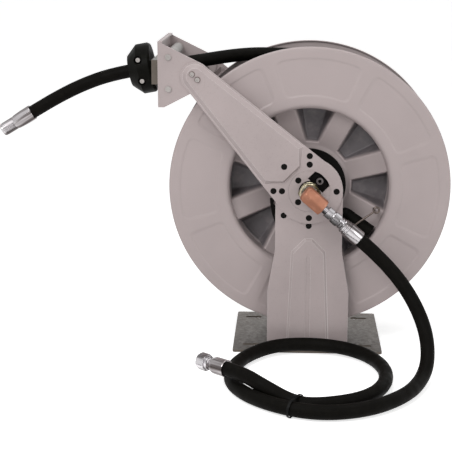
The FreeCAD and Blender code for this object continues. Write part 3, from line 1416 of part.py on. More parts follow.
def make_cable_tie(path):
    """A cable tie round both strands of the inlet hose, where they lie side by side."""
    tie_x, strands = float(d.tie_place), []
    for edge in path:
        low, high = edge.BoundBox.XMin, edge.BoundBox.XMax
        if low < tie_x < high and edge.BoundBox.YMax < float(d.tie_row):
            points = edge.discretize(200)
            nearest = min(points, key=lambda point: abs(point.x - tie_x))
            strands.append((nearest, edge.tangentAt(edge.Curve.parameter(nearest))))
    strands.sort(key=lambda strand: strand[0].y)
    outer, inner = strands[0][0], strands[-1][0]
    heading = (strands[0][1] + strands[-1][1]).normalize()
    across = inner - outer
    across = across - heading * across.dot(heading)
    spread = across.Length
    across.normalize()
    up = heading.cross(across).normalize()
    up = up if up.z > 0 else up * -1
    radius = float(hose_radius + d.tie_slack)
    bands = []
    for size in (radius + float(d.tie_sheet), radius):
        far = outer + across * spread
        edges = [Part.makeLine(outer + up * size, far + up * size),
                 Part.Arc(far + up * size, far + across * size, far - up * size).toShape(),
                 Part.makeLine(far - up * size, outer - up * size),
                 Part.Arc(outer - up * size, outer - across * size,
                          outer + up * size).toShape()]
        band = Part.Face(Part.Wire(edges)).extrude(heading * float(d.tie_width))
        bands.append(band.translated(heading * float(d.tie_width) * -0.5))
    head = Part.makeBox(8, 5, float(d.tie_width) + 3, Vector(-4, -0.3, -4.5))
    top = outer + across * (spread / 2) + up * (radius + float(d.tie_sheet))
    head.Placement = Placement(top, Rotation(across, up, across.cross(up), "XYZ"))
    keep("cable_tie", bands[0].cut(bands[1]).fuse(head).removeSplitter())


# ---------------------------------------------------------------- fasteners

def bolt(at, direction, grip, nut=False, tail=0.0, low=False):
    """A button-head bolt from its seat along direction, with a nut behind its grip."""
    radius, head = float(d.screw_radius), float(d.screw_head)
    height = float(d.low_head_height if low else d.screw_head_height)
    cap = Part.makeCone(head, head * 0.72, height, at, direction * -1)
    socket = hexagon(d.socket_flats, height * 0.55, at - direction * height, direction)
    end = grip + (float(d.nut_height) + 1.5 if nut else tail)
    shape = cap.cut(socket).fuse(cylinder(radius, end, at, direction))
    if nut:
        shape = shape.fuse(hexagon(d.nut_flats, d.nut_height, at + direction * grip, direction))
    return shape.removeSplitter()


def round_hub(angle, radius, y):
    spot = spin_direction(angle) * float(radius)
    return Vector(spot.x, float(y), float(d.hub_height) + spot.z)


def make_fasteners():
    into = Vector(0, 1, 0)
    tip_bolts, foot_bolts, hub_screws = [], [], []
    for name, side in (("front", -1), ("rear", 1)):
        way = into * -side
        arm_bolts = []
        for angle in ARM_BOLTS:
            seat = round_hub(angle, d.arm_bolt_circle, side * arm_face)
            arm_bolts.append(bolt(seat, way, float(arm_face - post_back), nut=True, low=True))
        keep(f"{name}_arm_bolts", Part.makeCompound(arm_bolts))
        crown = arm_face + d.arm_rise
        grip = float(crown - post_face + d.bracket_sheet)
        for step in (-1, 1):
            along = d.arm_length + step * d.tip_bolt_pitch / 2
            seat = round_hub(d.arm_angle, along, side * crown)
            tip_bolts.append(bolt(seat, way, grip, nut=True))
        seat_z = float(d.base_sheet + d.post_sheet)
        row = side * float(post_back - d.foot_depth / 2)
        for step in (-1, 1):
            seat = Vector(step * float(d.foot_bolt_pitch) / 2, row, seat_z)
            foot_bolts.append(bolt(seat, Vector(0, 0, -1), seat_z - 0.3))
        for step in range(0, 360, 60):
            seat = round_hub(step + float(d.disc_turn), d.hub_screw_circle, side * hub_floor)
            hub_screws.append(bolt(seat, way, float(d.disc_sheet), tail=float(d.case_wall) * 2))
    keep("bracket_bolts", Part.makeCompound(tip_bolts))
    keep("foot_bolts", Part.makeCompound(foot_bolts))
    keep("hub_screws", Part.makeCompound(hub_screws))
    screws = [bolt(round_hub(angle, d.retainer_screw_circle, -arm_face), into,
                   float(arm_face - post_back) - 0.2, low=True) for angle in RETAINER_SCREWS]
    keep("retainer_screws", Part.makeCompound(screws))
    at = round_hub(45, d.window_pin_circle, -post_back)
    tube = cylinder(d.window_pin_radius, arm_face - post_back, at, into * -1)
    bore = cylinder(float(d.window_pin_radius) * 0.5, 40, at + into * 20, into * -1)
    keep("window_pin", tube.cut(bore))


# ---------------------------------------------------------------- the whole reel

def make_reel():
    make_base_plate()
    mirrored("rear_post", make_post())
    mirrored("rear_guide_arm", make_arm())
    make_bracket()
    make_roller_frame()
    make_long_rollers()
    make_short_rollers()
    make_drum()
    make_shaft()
    make_ratchet()
    make_drum_hub()
    make_bearings()
    make_shaft_nut()
    make_pawl()
    make_spring_motor()
    centre, direction = make_swivel()
    fitting_end = make_inlet_fittings(centre, direction)
    make_drum_inlet()
    make_winding()
    make_inlet_hose(fitting_end, direction)
    make_outlet()
    make_fasteners()


def check_document():
    doc.recompute()
    for item in doc.Objects:
        if {"Invalid", "Error"} & set(item.State):
            raise RuntimeError(f"{item.Label}: {item.State}")
    for item in nodes:
        if item.Shape.isNull() or not item.Shape.isValid():
            raise RuntimeError(f"{item.Label} has no valid shape")


def write_parts():
    os.makedirs("parts", exist_ok=True)
    for item in nodes:
        item.Shape.exportStep(f"parts/{item.Label}.step")
    print(f"{len(nodes)} parts written")


make_reel()
check_document()
write_parts()
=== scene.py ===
import json
import math
import bmesh
import bpy
from mathutils import Matrix, Vector

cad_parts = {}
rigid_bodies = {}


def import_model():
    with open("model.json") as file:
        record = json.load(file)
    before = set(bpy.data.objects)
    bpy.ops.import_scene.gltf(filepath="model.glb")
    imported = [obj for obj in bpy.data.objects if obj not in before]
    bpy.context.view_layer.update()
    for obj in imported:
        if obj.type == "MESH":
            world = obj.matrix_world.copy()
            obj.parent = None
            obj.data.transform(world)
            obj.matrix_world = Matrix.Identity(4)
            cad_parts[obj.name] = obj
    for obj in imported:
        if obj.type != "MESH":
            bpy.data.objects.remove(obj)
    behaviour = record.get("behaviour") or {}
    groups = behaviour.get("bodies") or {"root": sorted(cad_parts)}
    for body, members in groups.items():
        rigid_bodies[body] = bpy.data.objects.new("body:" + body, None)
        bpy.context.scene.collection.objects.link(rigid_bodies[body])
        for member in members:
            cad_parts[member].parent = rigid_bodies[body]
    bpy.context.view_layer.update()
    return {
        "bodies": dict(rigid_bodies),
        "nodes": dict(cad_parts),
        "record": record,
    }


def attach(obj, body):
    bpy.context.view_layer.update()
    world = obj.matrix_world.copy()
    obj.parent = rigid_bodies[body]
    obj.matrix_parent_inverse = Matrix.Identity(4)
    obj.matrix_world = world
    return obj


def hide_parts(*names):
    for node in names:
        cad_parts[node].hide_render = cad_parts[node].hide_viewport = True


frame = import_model()
scene = bpy.context.scene
scene.view_settings.view_transform = "Standard"
NODES = frame["nodes"]
BODY_OF = {node: body for body, empty in frame["bodies"].items()
           for node, obj in NODES.items() if obj.parent == empty}

# ---------------------------------------------------------------- camera

FRAME_PIXELS = 452
CAMERA_TARGET = Vector((-0.1824, 0.0, 0.2464))
CAMERA_DISTANCE = 2.8
CAMERA_AZIMUTH = -0.053
CAMERA_ELEVATION = 0.227
FOCAL_PIXELS = 1255
SENSOR = 36.0


def make_camera():
    data = bpy.data.cameras.new("camera")
    data.sensor_width = SENSOR
    data.lens = FOCAL_PIXELS / FRAME_PIXELS * SENSOR
    forward = Vector((math.sin(CAMERA_AZIMUTH) * math.cos(CAMERA_ELEVATION),
                      math.cos(CAMERA_AZIMUTH) * math.cos(CAMERA_ELEVATION),
                      -math.sin(CAMERA_ELEVATION)))
    camera = bpy.data.objects.new("camera", data)
    camera.location = CAMERA_TARGET - forward * CAMERA_DISTANCE
    camera.rotation_euler = forward.to_track_quat("-Z", "Y").to_euler()
    scene.collection.objects.link(camera)
    scene.camera = camera


make_camera()

# ---------------------------------------------------------------- the shared sizes, in metres

HUB = 0.352                    # drum axis above the floor
HOSE_RADIUS = 0.0145
FERRULE_LENGTH = 0.045
CRIMP = 0.012                  # hose inside a ferrule
SWIVEL_PLANE = -0.1751         # the inlet fittings' plane
SWIVEL_ANGLE = math.radians(-40.6)
SWIVEL_WAY = Vector((math.cos(SWIVEL_ANGLE), 0, math.sin(SWIVEL_ANGLE)))
SWIVEL_CENTRE = Vector((0, SWIVEL_PLANE, HUB))
INLET_FERRULE = 0.093          # swivel centre to the inlet ferrule
STOP_WAY = Vector((-math.cos(math.radians(10.7)), 0, -math.sin(math.radians(10.7))))
STOP_CENTRE = Vector((-0.3649, 0, 0.5955))
STOP_HALF = 0.026

# ---------------------------------------------------------------- materials


def new_material(name):
    made = bpy.data.materials.new(name)
    made.use_nodes = True
    tree = made.node_tree
    return made, tree, tree.nodes["Principled BSDF"]


def put(tree, kind, **values):
    """Add a node; plain names set attributes and in_NAME sets an input."""
    made = tree.nodes.new(kind)
    for key, value in values.items():
        if key.startswith("in_"):
            made.inputs[key[3:].replace("_", " ")].default_value = value
        else:
            setattr(made, key, value)
    return made


def noise(tree, scale, detail=3.0, rough=0.5, stretch=None):
    """Noise in object space, in features per metre."""
    place = put(tree, "ShaderNodeTexCoord")
    source = place.outputs["Object"]
    if stretch:
        mapping = put(tree, "ShaderNodeMapping", in_Scale=stretch)
        tree.links.new(source, mapping.inputs["Vector"])
        source = mapping.outputs["Vector"]
    made = put(tree, "ShaderNodeTexNoise", in_Scale=scale, in_Detail=detail, in_Roughness=rough)
    tree.links.new(source, made.inputs["Vector"])
    return made.outputs["Fac"]


def ramp(tree, source, stops):
    """A colour ramp over a value; each stop is (place, colour)."""
    made = put(tree, "ShaderNodeValToRGB")
    elements = made.color_ramp.elements
    while len(elements) < len(stops):
        elements.new(0.5)
    for element, (place, colour) in zip(elements, stops):
        element.position = place
        element.color = (*colour, 1)
    tree.links.new(source, made.inputs["Fac"])
    return made.outputs["Color"]


def span(tree, source, low, high, start=0.3, end=0.7):
    """Map a value from start..end to low..high."""
    made = put(tree, "ShaderNodeMapRange")
    for key, value in (("From Min", start), ("From Max", end), ("To Min", low), ("To Max", high)):
        made.inputs[key].default_value = value
    tree.links.new(source, made.inputs["Value"])
    return made.outputs["Result"]


def bump(tree, shader, height, distance, strength=1.0, before=None):
    made = put(tree, "ShaderNodeBump", in_Strength=strength, in_Distance=distance)
    tree.links.new(height, made.inputs["Height"])
    if before is not None:
        tree.links.new(before, made.inputs["Normal"])
    tree.links.new(made.outputs["Normal"], shader.inputs["Normal"])
    return made.outputs["Normal"]


def shades(colour, *factors):
    return [tuple(channel * factor for channel in colour) for factor in factors]


def painted(name, colour, rough=0.4, peel=0.00012, gloss=0.4):
    """Sprayed or powder-coated steel: slight cloudiness, orange peel, thin dust."""
    made, tree, shader = new_material(name)
    cloud = noise(tree, 7, 4, 0.55)
    low, mid, high = shades(colour, 0.93, 1.0, 1.06)
    tint = ramp(tree, cloud, [(0.3, low), (0.5, mid), (0.72, high)])
    speck = ramp(tree, noise(tree, 240, 2, 0.6), [(0.34, (0.9, 0.89, 0.88)), (0.42, (1, 1, 1))])
    mix = put(tree, "ShaderNodeMixRGB", blend_type="MULTIPLY", in_Fac=0.55)
    tree.links.new(tint, mix.inputs["Color1"])
    tree.links.new(speck, mix.inputs["Color2"])
    tree.links.new(mix.outputs["Color"], shader.inputs["Base Color"])
    tree.links.new(span(tree, noise(tree, 30, 4), rough - 0.05, rough + 0.1),
                   shader.inputs["Roughness"])
    bump(tree, shader, noise(tree, 520, 2, 0.5), peel, 0.35)
    shader.inputs["Specular IOR Level"].default_value = gloss
    return made


def metal(name, colour, rough, grain=0.00004, grain_scale=900, tint=None, metallic=1.0):
    """Plated or bare metal: cloudy tint, uneven polish and fine grain."""
    made, tree, shader = new_material(name)
    shader.inputs["Metallic"].default_value = metallic
    low, high = shades(colour, 0.86, 1.05)
    stops = [(0.3, low), (0.55, colour), (0.75, tint or high)]
    tree.links.new(ramp(tree, noise(tree, 60, 4, 0.6), stops), shader.inputs["Base Color"])
    tree.links.new(span(tree, noise(tree, 130, 5, 0.65), rough * 0.7, rough * 1.5),
                   shader.inputs["Roughness"])
    bump(tree, shader, noise(tree, grain_scale, 3, 0.6), grain, 0.5)
    return made


def rubber(name, colour, rough=0.55, peel=0.0002, speck=0.02):
    """Black rubber with a faint cloth impression, dust and scuffs."""
    made, tree, shader = new_material(name)
    dust = (colour[0] + speck, colour[1] + speck, colour[2] + speck)
    scuff = ramp(tree, noise(tree, 90, 6, 0.7), [(0.45, colour), (0.66, shades(colour, 1.7)[0]),
                                                 (0.82, dust)])
    tree.links.new(scuff, shader.inputs["Base Color"])
    tree.links.new(span(tree, noise(tree, 45, 5), rough - 0.12, rough + 0.15),
                   shader.inputs["Roughness"])
    first = bump(tree, shader, noise(tree, 700, 4, 0.6), peel, 0.5)
    bump(tree, shader, noise(tree, 60, 3, 0.5), peel * 2, 0.35, before=first)
    shader.inputs["Specular IOR Level"].default_value = 0.04
    return made


PAINT = (0.43, 0.365, 0.362)
# the dark grey painted down in the disc troughs as shade
TROUGH_SHADE_GREY = (0.125, 0.112, 0.118)


def pressed_paint(name):
    """The drum discs' paint, turned to a dark grey down in the troughs as painted shade."""
    made, tree, shader = new_material(name)
    low, mid, high = shades(PAINT, 0.95, 1.0, 1.04)
    tint = ramp(tree, noise(tree, 6, 4, 0.55), [(0.3, low), (0.5, mid), (0.72, high)])
    shade_layer = put(tree, "ShaderNodeAttribute", attribute_name="trough_shade")
    cloud = span(tree, noise(tree, 38, 4, 0.6), 0.8, 1.12)
    shade_amount = put(tree, "ShaderNodeMath", operation="MULTIPLY")
    tree.links.new(shade_layer.outputs["Fac"], shade_amount.inputs[0])
    tree.links.new(cloud, shade_amount.inputs[1])
    mix = put(tree, "ShaderNodeMixRGB", in_Color2=(*TROUGH_SHADE_GREY, 1))
    tree.links.new(shade_amount.outputs[0], mix.inputs["Fac"])
    tree.links.new(tint, mix.inputs["Color1"])
    tree.links.new(mix.outputs["Color"], shader.inputs["Base Color"])
    tree.links.new(span(tree, noise(tree, 26, 4), 0.36, 0.5), shader.inputs["Roughness"])
    bump(tree, shader, noise(tree, 480, 2, 0.5), 0.0001, 0.3)
    shader.inputs["Specular IOR Level"].default_value = 0.4
    return made


def streaked_reflection_metal(name, dark, mid, bright, rough, around=70.0):
    """Plated tube and bar: long dark and bright streaks along the piece's own Z, which are painted
    reflections, and fine grain.
    """
    made, tree, shader = new_material(name)
    shader.inputs["Metallic"].default_value = 1.0
    reflection_streak = noise(tree, 1.0, 3, 0.55, (around, around, around * 0.05))
    tint = ramp(tree, reflection_streak, [(0.34, dark), (0.47, mid), (0.60, bright)])
    tree.links.new(tint, shader.inputs["Base Color"])
    tree.links.new(span(tree, noise(tree, 160, 4, 0.6), rough * 0.7, rough * 1.4),
                   shader.inputs["Roughness"])
    bump(tree, shader, noise(tree, 1500, 3, 0.6), 0.00002, 0.4)
    return made


MATERIALS = {
    "painted_steel": painted("paint", PAINT),
    # a lighter paint for bevelled edges: a painted highlight along the folds
    "painted_edge_highlight": painted("painted_edge_highlight", (0.72, 0.675, 0.665), 0.3, gloss=0.6),
    # the streaked metals' dark and bright bands are painted reflections
    "streak_reflection_steel": streaked_reflection_metal("streak_reflection_steel", (0.045, 0.038, 0.036), (0.17, 0.15, 0.15),
                               (0.50, 0.48, 0.49), 0.2),
    "streak_reflection_nut": streaked_reflection_metal("streak_reflection_nut", (0.06, 0.056, 0.055), (0.22, 0.21, 0.215),
                              (0.62, 0.60, 0.62), 0.2, 95.0),
    "streak_reflection_zinc_nut": streaked_reflection_metal("streak_reflection_zinc_nut", (0.035, 0.03, 0.014), (0.14, 0.125, 0.07),
                            (0.60, 0.56, 0.40), 0.24, 80.0),
    "rod_steel": metal("rod", (0.115, 0.092, 0.082), 0.3),
    "neck_bronze": metal("neck", (0.075, 0.052, 0.026), 0.34, tint=(0.12, 0.085, 0.045)),
    "pin_steel": metal("pin", (0.11, 0.10, 0.10), 0.3),
    "pressed_steel": pressed_paint("disc_paint"),
    "zinc_steel": metal("zinc", (0.115, 0.097, 0.083), 0.36, metallic=0.8),
    "black_steel": painted("black_paint", (0.0045, 0.004, 0.0036), 0.45, gloss=0.06),
    "bright_steel": metal("chrome", (0.40, 0.375, 0.36), 0.17),
    "yellow_zinc": metal("yellow_zinc", (0.50, 0.43, 0.27), 0.2, tint=(0.60, 0.42, 0.32)),
    "brass": metal("bronze", (0.34, 0.135, 0.075), 0.36, tint=(0.46, 0.215, 0.14), grain=0.0001,
                   grain_scale=420, metallic=0.35),
    "black_rubber": rubber("rubber", (0.0036, 0.0032, 0.0026), speck=0.005),
    "spring_steel": metal("spring", (0.16, 0.16, 0.18), 0.35),
    "grey_nylon": painted("nylon", (0.36, 0.34, 0.33), 0.5),
    "black_nylon": rubber("black_nylon", (0.010, 0.010, 0.010), 0.4, 0.0001),
    "moulded_black": rubber("moulded", (0.0045, 0.0044, 0.0035), 0.42, 0.00016, 0.004),
}


def slot_of(node):
    return next(part["material_slot"] for part in frame["record"]["subparts"]
                if part["node"] == node)


NODE_LOOKS = {"hose_clamp": "rod_steel", "window_pin": "pin_steel"}


def paint_frame():
    for node, obj in NODES.items():
        obj.data.materials.clear()
        obj.data.materials.append(MATERIALS[NODE_LOOKS.get(node, slot_of(node))])


paint_frame()

# ---------------------------------------------------------------- hoses


def add_object(name, data, slot, body, replaced=(), look=None):
    """Link a piece, paint it, and let it ride on its body."""
    made = bpy.data.objects.new(name, data)
    scene.collection.objects.link(made)
    data.materials.clear()
    data.materials.append(MATERIALS[look or slot])
    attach(made, body)
    if replaced:
        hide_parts(*replaced)
    return made


def hose_curve(name, points, body, replaced):
    """A hose as one open NURBS spline through given control points."""
    data = bpy.data.curves.new(name, "CURVE")
    data.dimensions = "3D"
    data.resolution_u = 12
    data.bevel_depth = HOSE_RADIUS
    data.bevel_resolution = 7
    data.use_fill_caps = True
    spline = data.splines.new("NURBS")
    spline.points.add(len(points) - 1)
    for point, place in zip(spline.points, points):
        point.co = (*place, 1)
    spline.order_u = 3
    spline.use_endpoint_u = True
    return add_object(name, data, "black_rubber", body, replaced)


def at_swivel(reach):
    return SWIVEL_CENTRE + SWIVEL_WAY * reach


INLET_POINTS = [
    (0.1504, -0.1751, 0.2231), (0.207, -0.205, 0.160), (0.240, -0.245, 0.095),
    (0.243, -0.300, 0.045), (0.226, -0.345, 0.0165), (0.186, -0.436, 0.0165),
    (0.110, -0.513, 0.0165), (0.010, -0.538, 0.0165), (-0.088, -0.484, 0.0165),
    (-0.150, -0.400, 0.0165), (-0.158, -0.300, 0.0165), (-0.125, -0.205, 0.0165),
    (-0.060, -0.146, 0.0205), (0.040, -0.142, 0.0205), (0.118, -0.180, 0.0165),
    (0.158, -0.270, 0.0165), (0.155, -0.370, 0.0165), (0.110, -0.455, 0.0165),
    (0.020, -0.495, 0.0165), (-0.030, -0.484, 0.0165), (-0.092, -0.446, 0.038),
    (-0.128, -0.418, 0.0495)]
INLET_END = Vector((-0.160, -0.391, 0.0495))
inlet_way = (INLET_END - Vector(INLET_POINTS[-1])).normalized()
inlet_start = at_swivel(INLET_FERRULE + FERRULE_LENGTH - CRIMP)
inlet_hose = hose_curve("inlet_hose_cover",
                        [inlet_start, *INLET_POINTS, INLET_END + inlet_way * CRIMP],
                        "stand", ["inlet_hose"])

OUTLET_POINTS = [(-0.498, 0, 0.5595), (-0.555, 0, 0.531), (-0.609, 0, 0.499)]
OUTLET_END = Vector((-0.683, 0, 0.454))
outlet_way = (OUTLET_END - Vector(OUTLET_POINTS[-1])).normalized()
stop_leave, stop_entry = STOP_CENTRE + STOP_WAY * STOP_HALF, STOP_CENTRE - STOP_WAY * STOP_HALF
outlet_hose = hose_curve("outlet_hose_cover",
                         [stop_leave, stop_leave + STOP_WAY * 0.046, *OUTLET_POINTS,
                          Vector(OUTLET_POINTS[-1]) + outlet_way * CRIMP],
                         "stand", ["outlet_hose"])

TAKEOFF_POINTS = [(-0.296, 0, 0.6043), (-0.240, 0.012, 0.6125), (-0.180, 0.038, 0.6205),
                  (-0.120, 0.060, 0.6245), (-0.060, 0.0671, 0.622)]
WINDING_RADIUS = 0.270         # outer layer as in the CAD; the spline runs 1.2 mm inside
WINDING_LEVEL = 0.0661         # where the outer layer starts, along Y
WINDING_PITCH = 0.030
OUTER_TURNS = 4.25
POINTS_PER_TURN = 24
INNER_RADIUS = 0.2436          # the layer below, about as far inside too
INNER_TURNS = 3.9
STEP_DOWN_TURN = 0.35          # part of a turn in which the hose goes down a layer
STEP_DOWN_ASIDE = 0.006
TURN_BACK = 0.3                # part of a turn before the layer below starts back


def winding_points():
    """The outer layer from the take-off, then down to the layer below and back across."""
    points = []
    # About half of what the spline loses by running inside its points
    bulge = 1 / ((1 + math.cos(math.pi / POINTS_PER_TURN)) / 2)
    steps = int(OUTER_TURNS * POINTS_PER_TURN)
    for step in range(steps + 1):
        turn = step / POINTS_PER_TURN
        points.append((WINDING_RADIUS, WINDING_LEVEL - WINDING_PITCH * turn, turn))
    for step in range(1, int(INNER_TURNS * POINTS_PER_TURN)):
        turn = step / POINTS_PER_TURN
        ease = min(1, turn / STEP_DOWN_TURN)
        radius = WINDING_RADIUS + (INNER_RADIUS - WINDING_RADIUS) * ease
        back = WINDING_PITCH * max(0, turn - TURN_BACK)
        level = points[steps][1] - STEP_DOWN_ASIDE * ease + back
        points.append((radius, level, OUTER_TURNS + turn))
    placed = []
    for radius, level, turn in points:
        angle = math.pi / 2 - 2 * math.pi * turn
        placed.append((radius * bulge * math.cos(angle), level,
                       HUB + radius * bulge * math.sin(angle)))
    return placed


hose_curve("wound_hose_cover", winding_points(), "drum", ["wound_hose", "wound_hose_core"])
drum_end = (0, WINDING_LEVEL, HUB + WINDING_RADIUS)
takeoff_hose = hose_curve("takeoff_hose_cover",
                          [stop_leave, stop_entry, *TAKEOFF_POINTS, drum_end],
                          "stand", ["hose_run", "hose_takeoff"])

# ---------------------------------------------------------------- rounded sheet metal and castings


def smooth_by_angle(mesh, degrees):
    """Smooth faces, with the edges that are sharper than an angle kept sharp."""
    limit = math.radians(degrees)
    shape = bmesh.new()
    shape.from_mesh(mesh)
    for face in shape.faces:
        face.smooth = True
    for edge in shape.edges:
        if len(edge.link_faces) == 2:
            edge.smooth = edge.calc_face_angle(0) < limit
    shape.to_mesh(mesh)
    shape.free()


# The rear post's own mesh renders black in its groove, for a reason not found. The
# front post's, mirrored, lies within 0.07 mm of it and is used in its place.
MIRRORED = {"rear_post": "front_post"}


def softened(node, width, look=None, edge_highlight_look=None, segments=2, angle=28, flat=0.6):
    """A copy of a rigid node with rounded edges, shown in its place."""
    mesh = NODES[MIRRORED.get(node, node)].data.copy()
    mesh.name = node + "_rounded"
    shape = bmesh.new()
    shape.from_mesh(mesh)
    bmesh.ops.remove_doubles(shape, verts=shape.verts, dist=2e-6)
    bmesh.ops.dissolve_limit(shape, angle_limit=math.radians(flat), verts=shape.verts,
                             edges=shape.edges)
    if node in MIRRORED:
        for vertex in shape.verts:
            vertex.co.y = -vertex.co.y
        bmesh.ops.reverse_faces(shape, faces=shape.faces)
    for face in shape.faces:
        face.smooth = True
    for edge in shape.edges:
        edge.smooth = True
    shape.to_mesh(mesh)
    shape.free()
    made = add_object(node + "_rounded", mesh, slot_of(node), BODY_OF[node], [node], look)
    bevel = made.modifiers.new("edges", "BEVEL")
    bevel.width = width
    bevel.segments = segments
    bevel.limit_method = "ANGLE"
    bevel.angle_limit = math.radians(angle)
    bevel.miter_outer = "MITER_ARC"
    # the bevel faces take the edge look; for the sheet parts this is a painted highlight
    if edge_highlight_look:
        mesh.materials.append(MATERIALS[edge_highlight_look])
        bevel.material = 1
    even = made.modifiers.new("normals", "WEIGHTED_NORMAL")
    even.mode = "FACE_AREA"
    even.weight = 60
    even.keep_sharp = False
    return made


ROUNDED = {
    "front_post": 0.0007, "rear_post": 0.0007, "front_guide_arm": 0.0018,
    "rear_guide_arm": 0.0018, "outlet_bracket": 0.0014, "base_plate": 0.0008,
    "roller_frame": 0.0006, "bearing_retainer": 0.0004, "rear_retainer": 0.0004,
    "spring_case": 0.0012, "spring_cover": 0.0009, "ratchet_wheel": 0.0006,
    "front_bearing": 0.0005, "rear_bearing": 0.0005, "shaft_nut": 0.0005,
    "front_hose_stop": 0.0024, "rear_hose_stop": 0.0024, "drum_elbow": 0.0008,
    "latch_pawl": 0.0007, "drum_shaft": 0.0005,
}
OTHER_LOOKS = {"front_hose_stop": "moulded_black", "rear_hose_stop": "moulded_black",
               "shaft_nut": "streak_reflection_zinc_nut"}
# these parts get the painted highlight on their bevelled edges
PAINTED_HIGHLIGHT_EDGES = ("front_post", "rear_post", "front_guide_arm", "rear_guide_arm",
                "outlet_bracket")
for rounded_node, rounded_width in ROUNDED.items():
    softened(rounded_node, rounded_width, OTHER_LOOKS.get(rounded_node),
             "painted_edge_highlight" if rounded_node in PAINTED_HIGHLIGHT_EDGES else None)

# ---------------------------------------------------------------- turned fittings and nuts

SIDES = 96


def six_sided(flats, corner_round=0.0006):
    """Radius of a hexagonal bar at an angle, with slightly rounded corners."""
    def at(angle):
        off = (angle + math.pi / 6) % (math.pi / 3) - math.pi / 6
        return min(flats / 2 / math.cos(off), flats / 2 / math.cos(math.pi / 6) - corner_round)
    return at


def turned_piece(name, stations, start, way, slot, body, replaced=(), look=None, turn=0.0):
    """Rings along the piece's own Z: (place, radius) or (place, radius, hexagon's flats)."""
    shape = bmesh.new()
    rows = []
    for station in stations:
        place, radius = station[:2]
        bar = six_sided(station[2]) if len(station) > 2 else None
        row = []
        for side in range(SIDES):
            angle = 2 * math.pi * side / SIDES
            reach = min(radius, bar(angle)) if bar else radius
            row.append(shape.verts.new((reach * math.cos(angle), reach * math.sin(angle),
                                        place)))
        rows.append(row)
    for low, high in zip(rows, rows[1:]):
        for side in range(SIDES):
            after = (side + 1) % SIDES
            shape.faces.new((low[side], low[after], high[after], high[side]))
    shape.faces.new(rows[0][::-1])
    shape.faces.new(rows[-1])
    mesh = bpy.data.meshes.new(name)
    shape.to_mesh(mesh)
    shape.free()
    smooth_by_angle(mesh, 24)
    made = add_object(name, mesh, slot, body, replaced, look)
    facing = Vector(way).to_track_quat("Z", "Y").to_matrix().to_4x4()
    made.matrix_world = (Matrix.Translation(Vector(start)) @ facing
                         @ Matrix.Rotation(turn, 4, "Z"))
    return made


def nut_stations(start, length, flats, bore, chamfer=0.0022):
    """A chamfered hexagon nut; its corners fall away to rounds at both ends."""
    rim, corner = flats / 2 - 0.0003, flats / 2 / math.cos(math.pi / 6)
    rise = (corner - rim) / 4
    ends = [(chamfer * (1 - math.sqrt(1 - (step / 4) ** 2)) if step < 4 else chamfer,
             rim + rise * step) for step in range(5)]
    stations = [(start, bore), (start, rim - 0.0006)]
    stations += [(start + 0.0003 + place, radius, flats) for place, radius in ends]
    stations += [(start + length - 0.0003 - place, radius, flats)
                 for place, radius in reversed(ends)]
    return stations + [(start + length, rim - 0.0006), (start + length, bore)]


def thread_stations(start, length, crest, root, pitch):
    stations, place = [(start, root)], start
    while place + pitch <= start + length + 1e-9:
        stations += [(place + pitch * 0.3, crest), (place + pitch * 0.55, crest),
                     (place + pitch * 0.9, root)]
        place += pitch
    return stations + [(start + length, root)]


# The swivel: a hexagonal bronze bar on a round neck
BAR_FLATS = 0.034
turned_piece("swivel_bar", [
    (-0.0150, 0.0080), (-0.0146, 0.0120, BAR_FLATS), (-0.0132, 0.0150, BAR_FLATS),
    (-0.0105, 0.0172, BAR_FLATS), (-0.0070, 0.0187, BAR_FLATS), (-0.0030, 0.0198, BAR_FLATS),
    (0.0345, 0.0198, BAR_FLATS), (0.0366, 0.0188, BAR_FLATS), (0.0380, 0.0168, BAR_FLATS),
    (0.0380, 0.0086)], SWIVEL_CENTRE, SWIVEL_WAY, "brass", "stand", ["swivel_body"],
    turn=math.radians(30))
turned_piece("swivel_neck", [
    (0.0, 0.012), (0.0, 0.0152), (0.0030, 0.0158), (0.0060, 0.0158), (0.0072, 0.0150),
    (0.0085, 0.0158), (0.0180, 0.0158), (0.0205, 0.0140), (0.0215, 0.0090)],
    (0, -0.1510, HUB), (0, -1, 0), "brass", "stand", look="neck_bronze")

# Inlet adapter and union, along the swivel's way
turned_piece("inlet_adapter_bar", thread_stations(0.0378, 0.0092, 0.0094, 0.0084, 0.0018)
             + nut_stations(0.0475, 0.0138, 0.0235, 0.0092)
             + [(0.0615, 0.0088), (0.0632, 0.0088)],
             SWIVEL_CENTRE, SWIVEL_WAY, "bright_steel", "stand", ["inlet_adapter"],
             "streak_reflection_nut", math.radians(20))
turned_piece("inlet_union", [(0.0632, 0.0088), (0.0634, 0.0112), (0.0646, 0.0118)]
             + nut_stations(0.0648, 0.0150, 0.0262, 0.0105)
             + [(0.0800, 0.0122), (0.0818, 0.0122), (0.0826, 0.0094), (0.0842, 0.0094),
                (0.0848, 0.0125), (0.0880, 0.0125), (0.0888, 0.0098), (0.0905, 0.0098),
                (0.0909, 0.0130), (0.0929, 0.0138)],
             SWIVEL_CENTRE, SWIVEL_WAY, "bright_steel", "stand", ["inlet_union_nut"],
             "streak_reflection_nut", math.radians(20))

FERRULE = [(0.0, 0.0080), (0.0, 0.0140), (0.0008, 0.0152), (0.0034, 0.0156), (0.0042, 0.0146),
           (0.0062, 0.0146), (0.0070, 0.0162), (0.0098, 0.0165), (0.0106, 0.0153),
           (0.0126, 0.0153), (0.0136, 0.0168), (0.0150, 0.0171), (0.0425, 0.0172),
           (0.0441, 0.0169), (0.0450, 0.0161), (0.0450, 0.0147), (0.0425, 0.0146)]
turned_piece("inlet_ferrule_crimped", FERRULE, at_swivel(INLET_FERRULE), SWIVEL_WAY,
             "bright_steel", "stand", ["inlet_ferrule"], "streak_reflection_steel", 0.6)

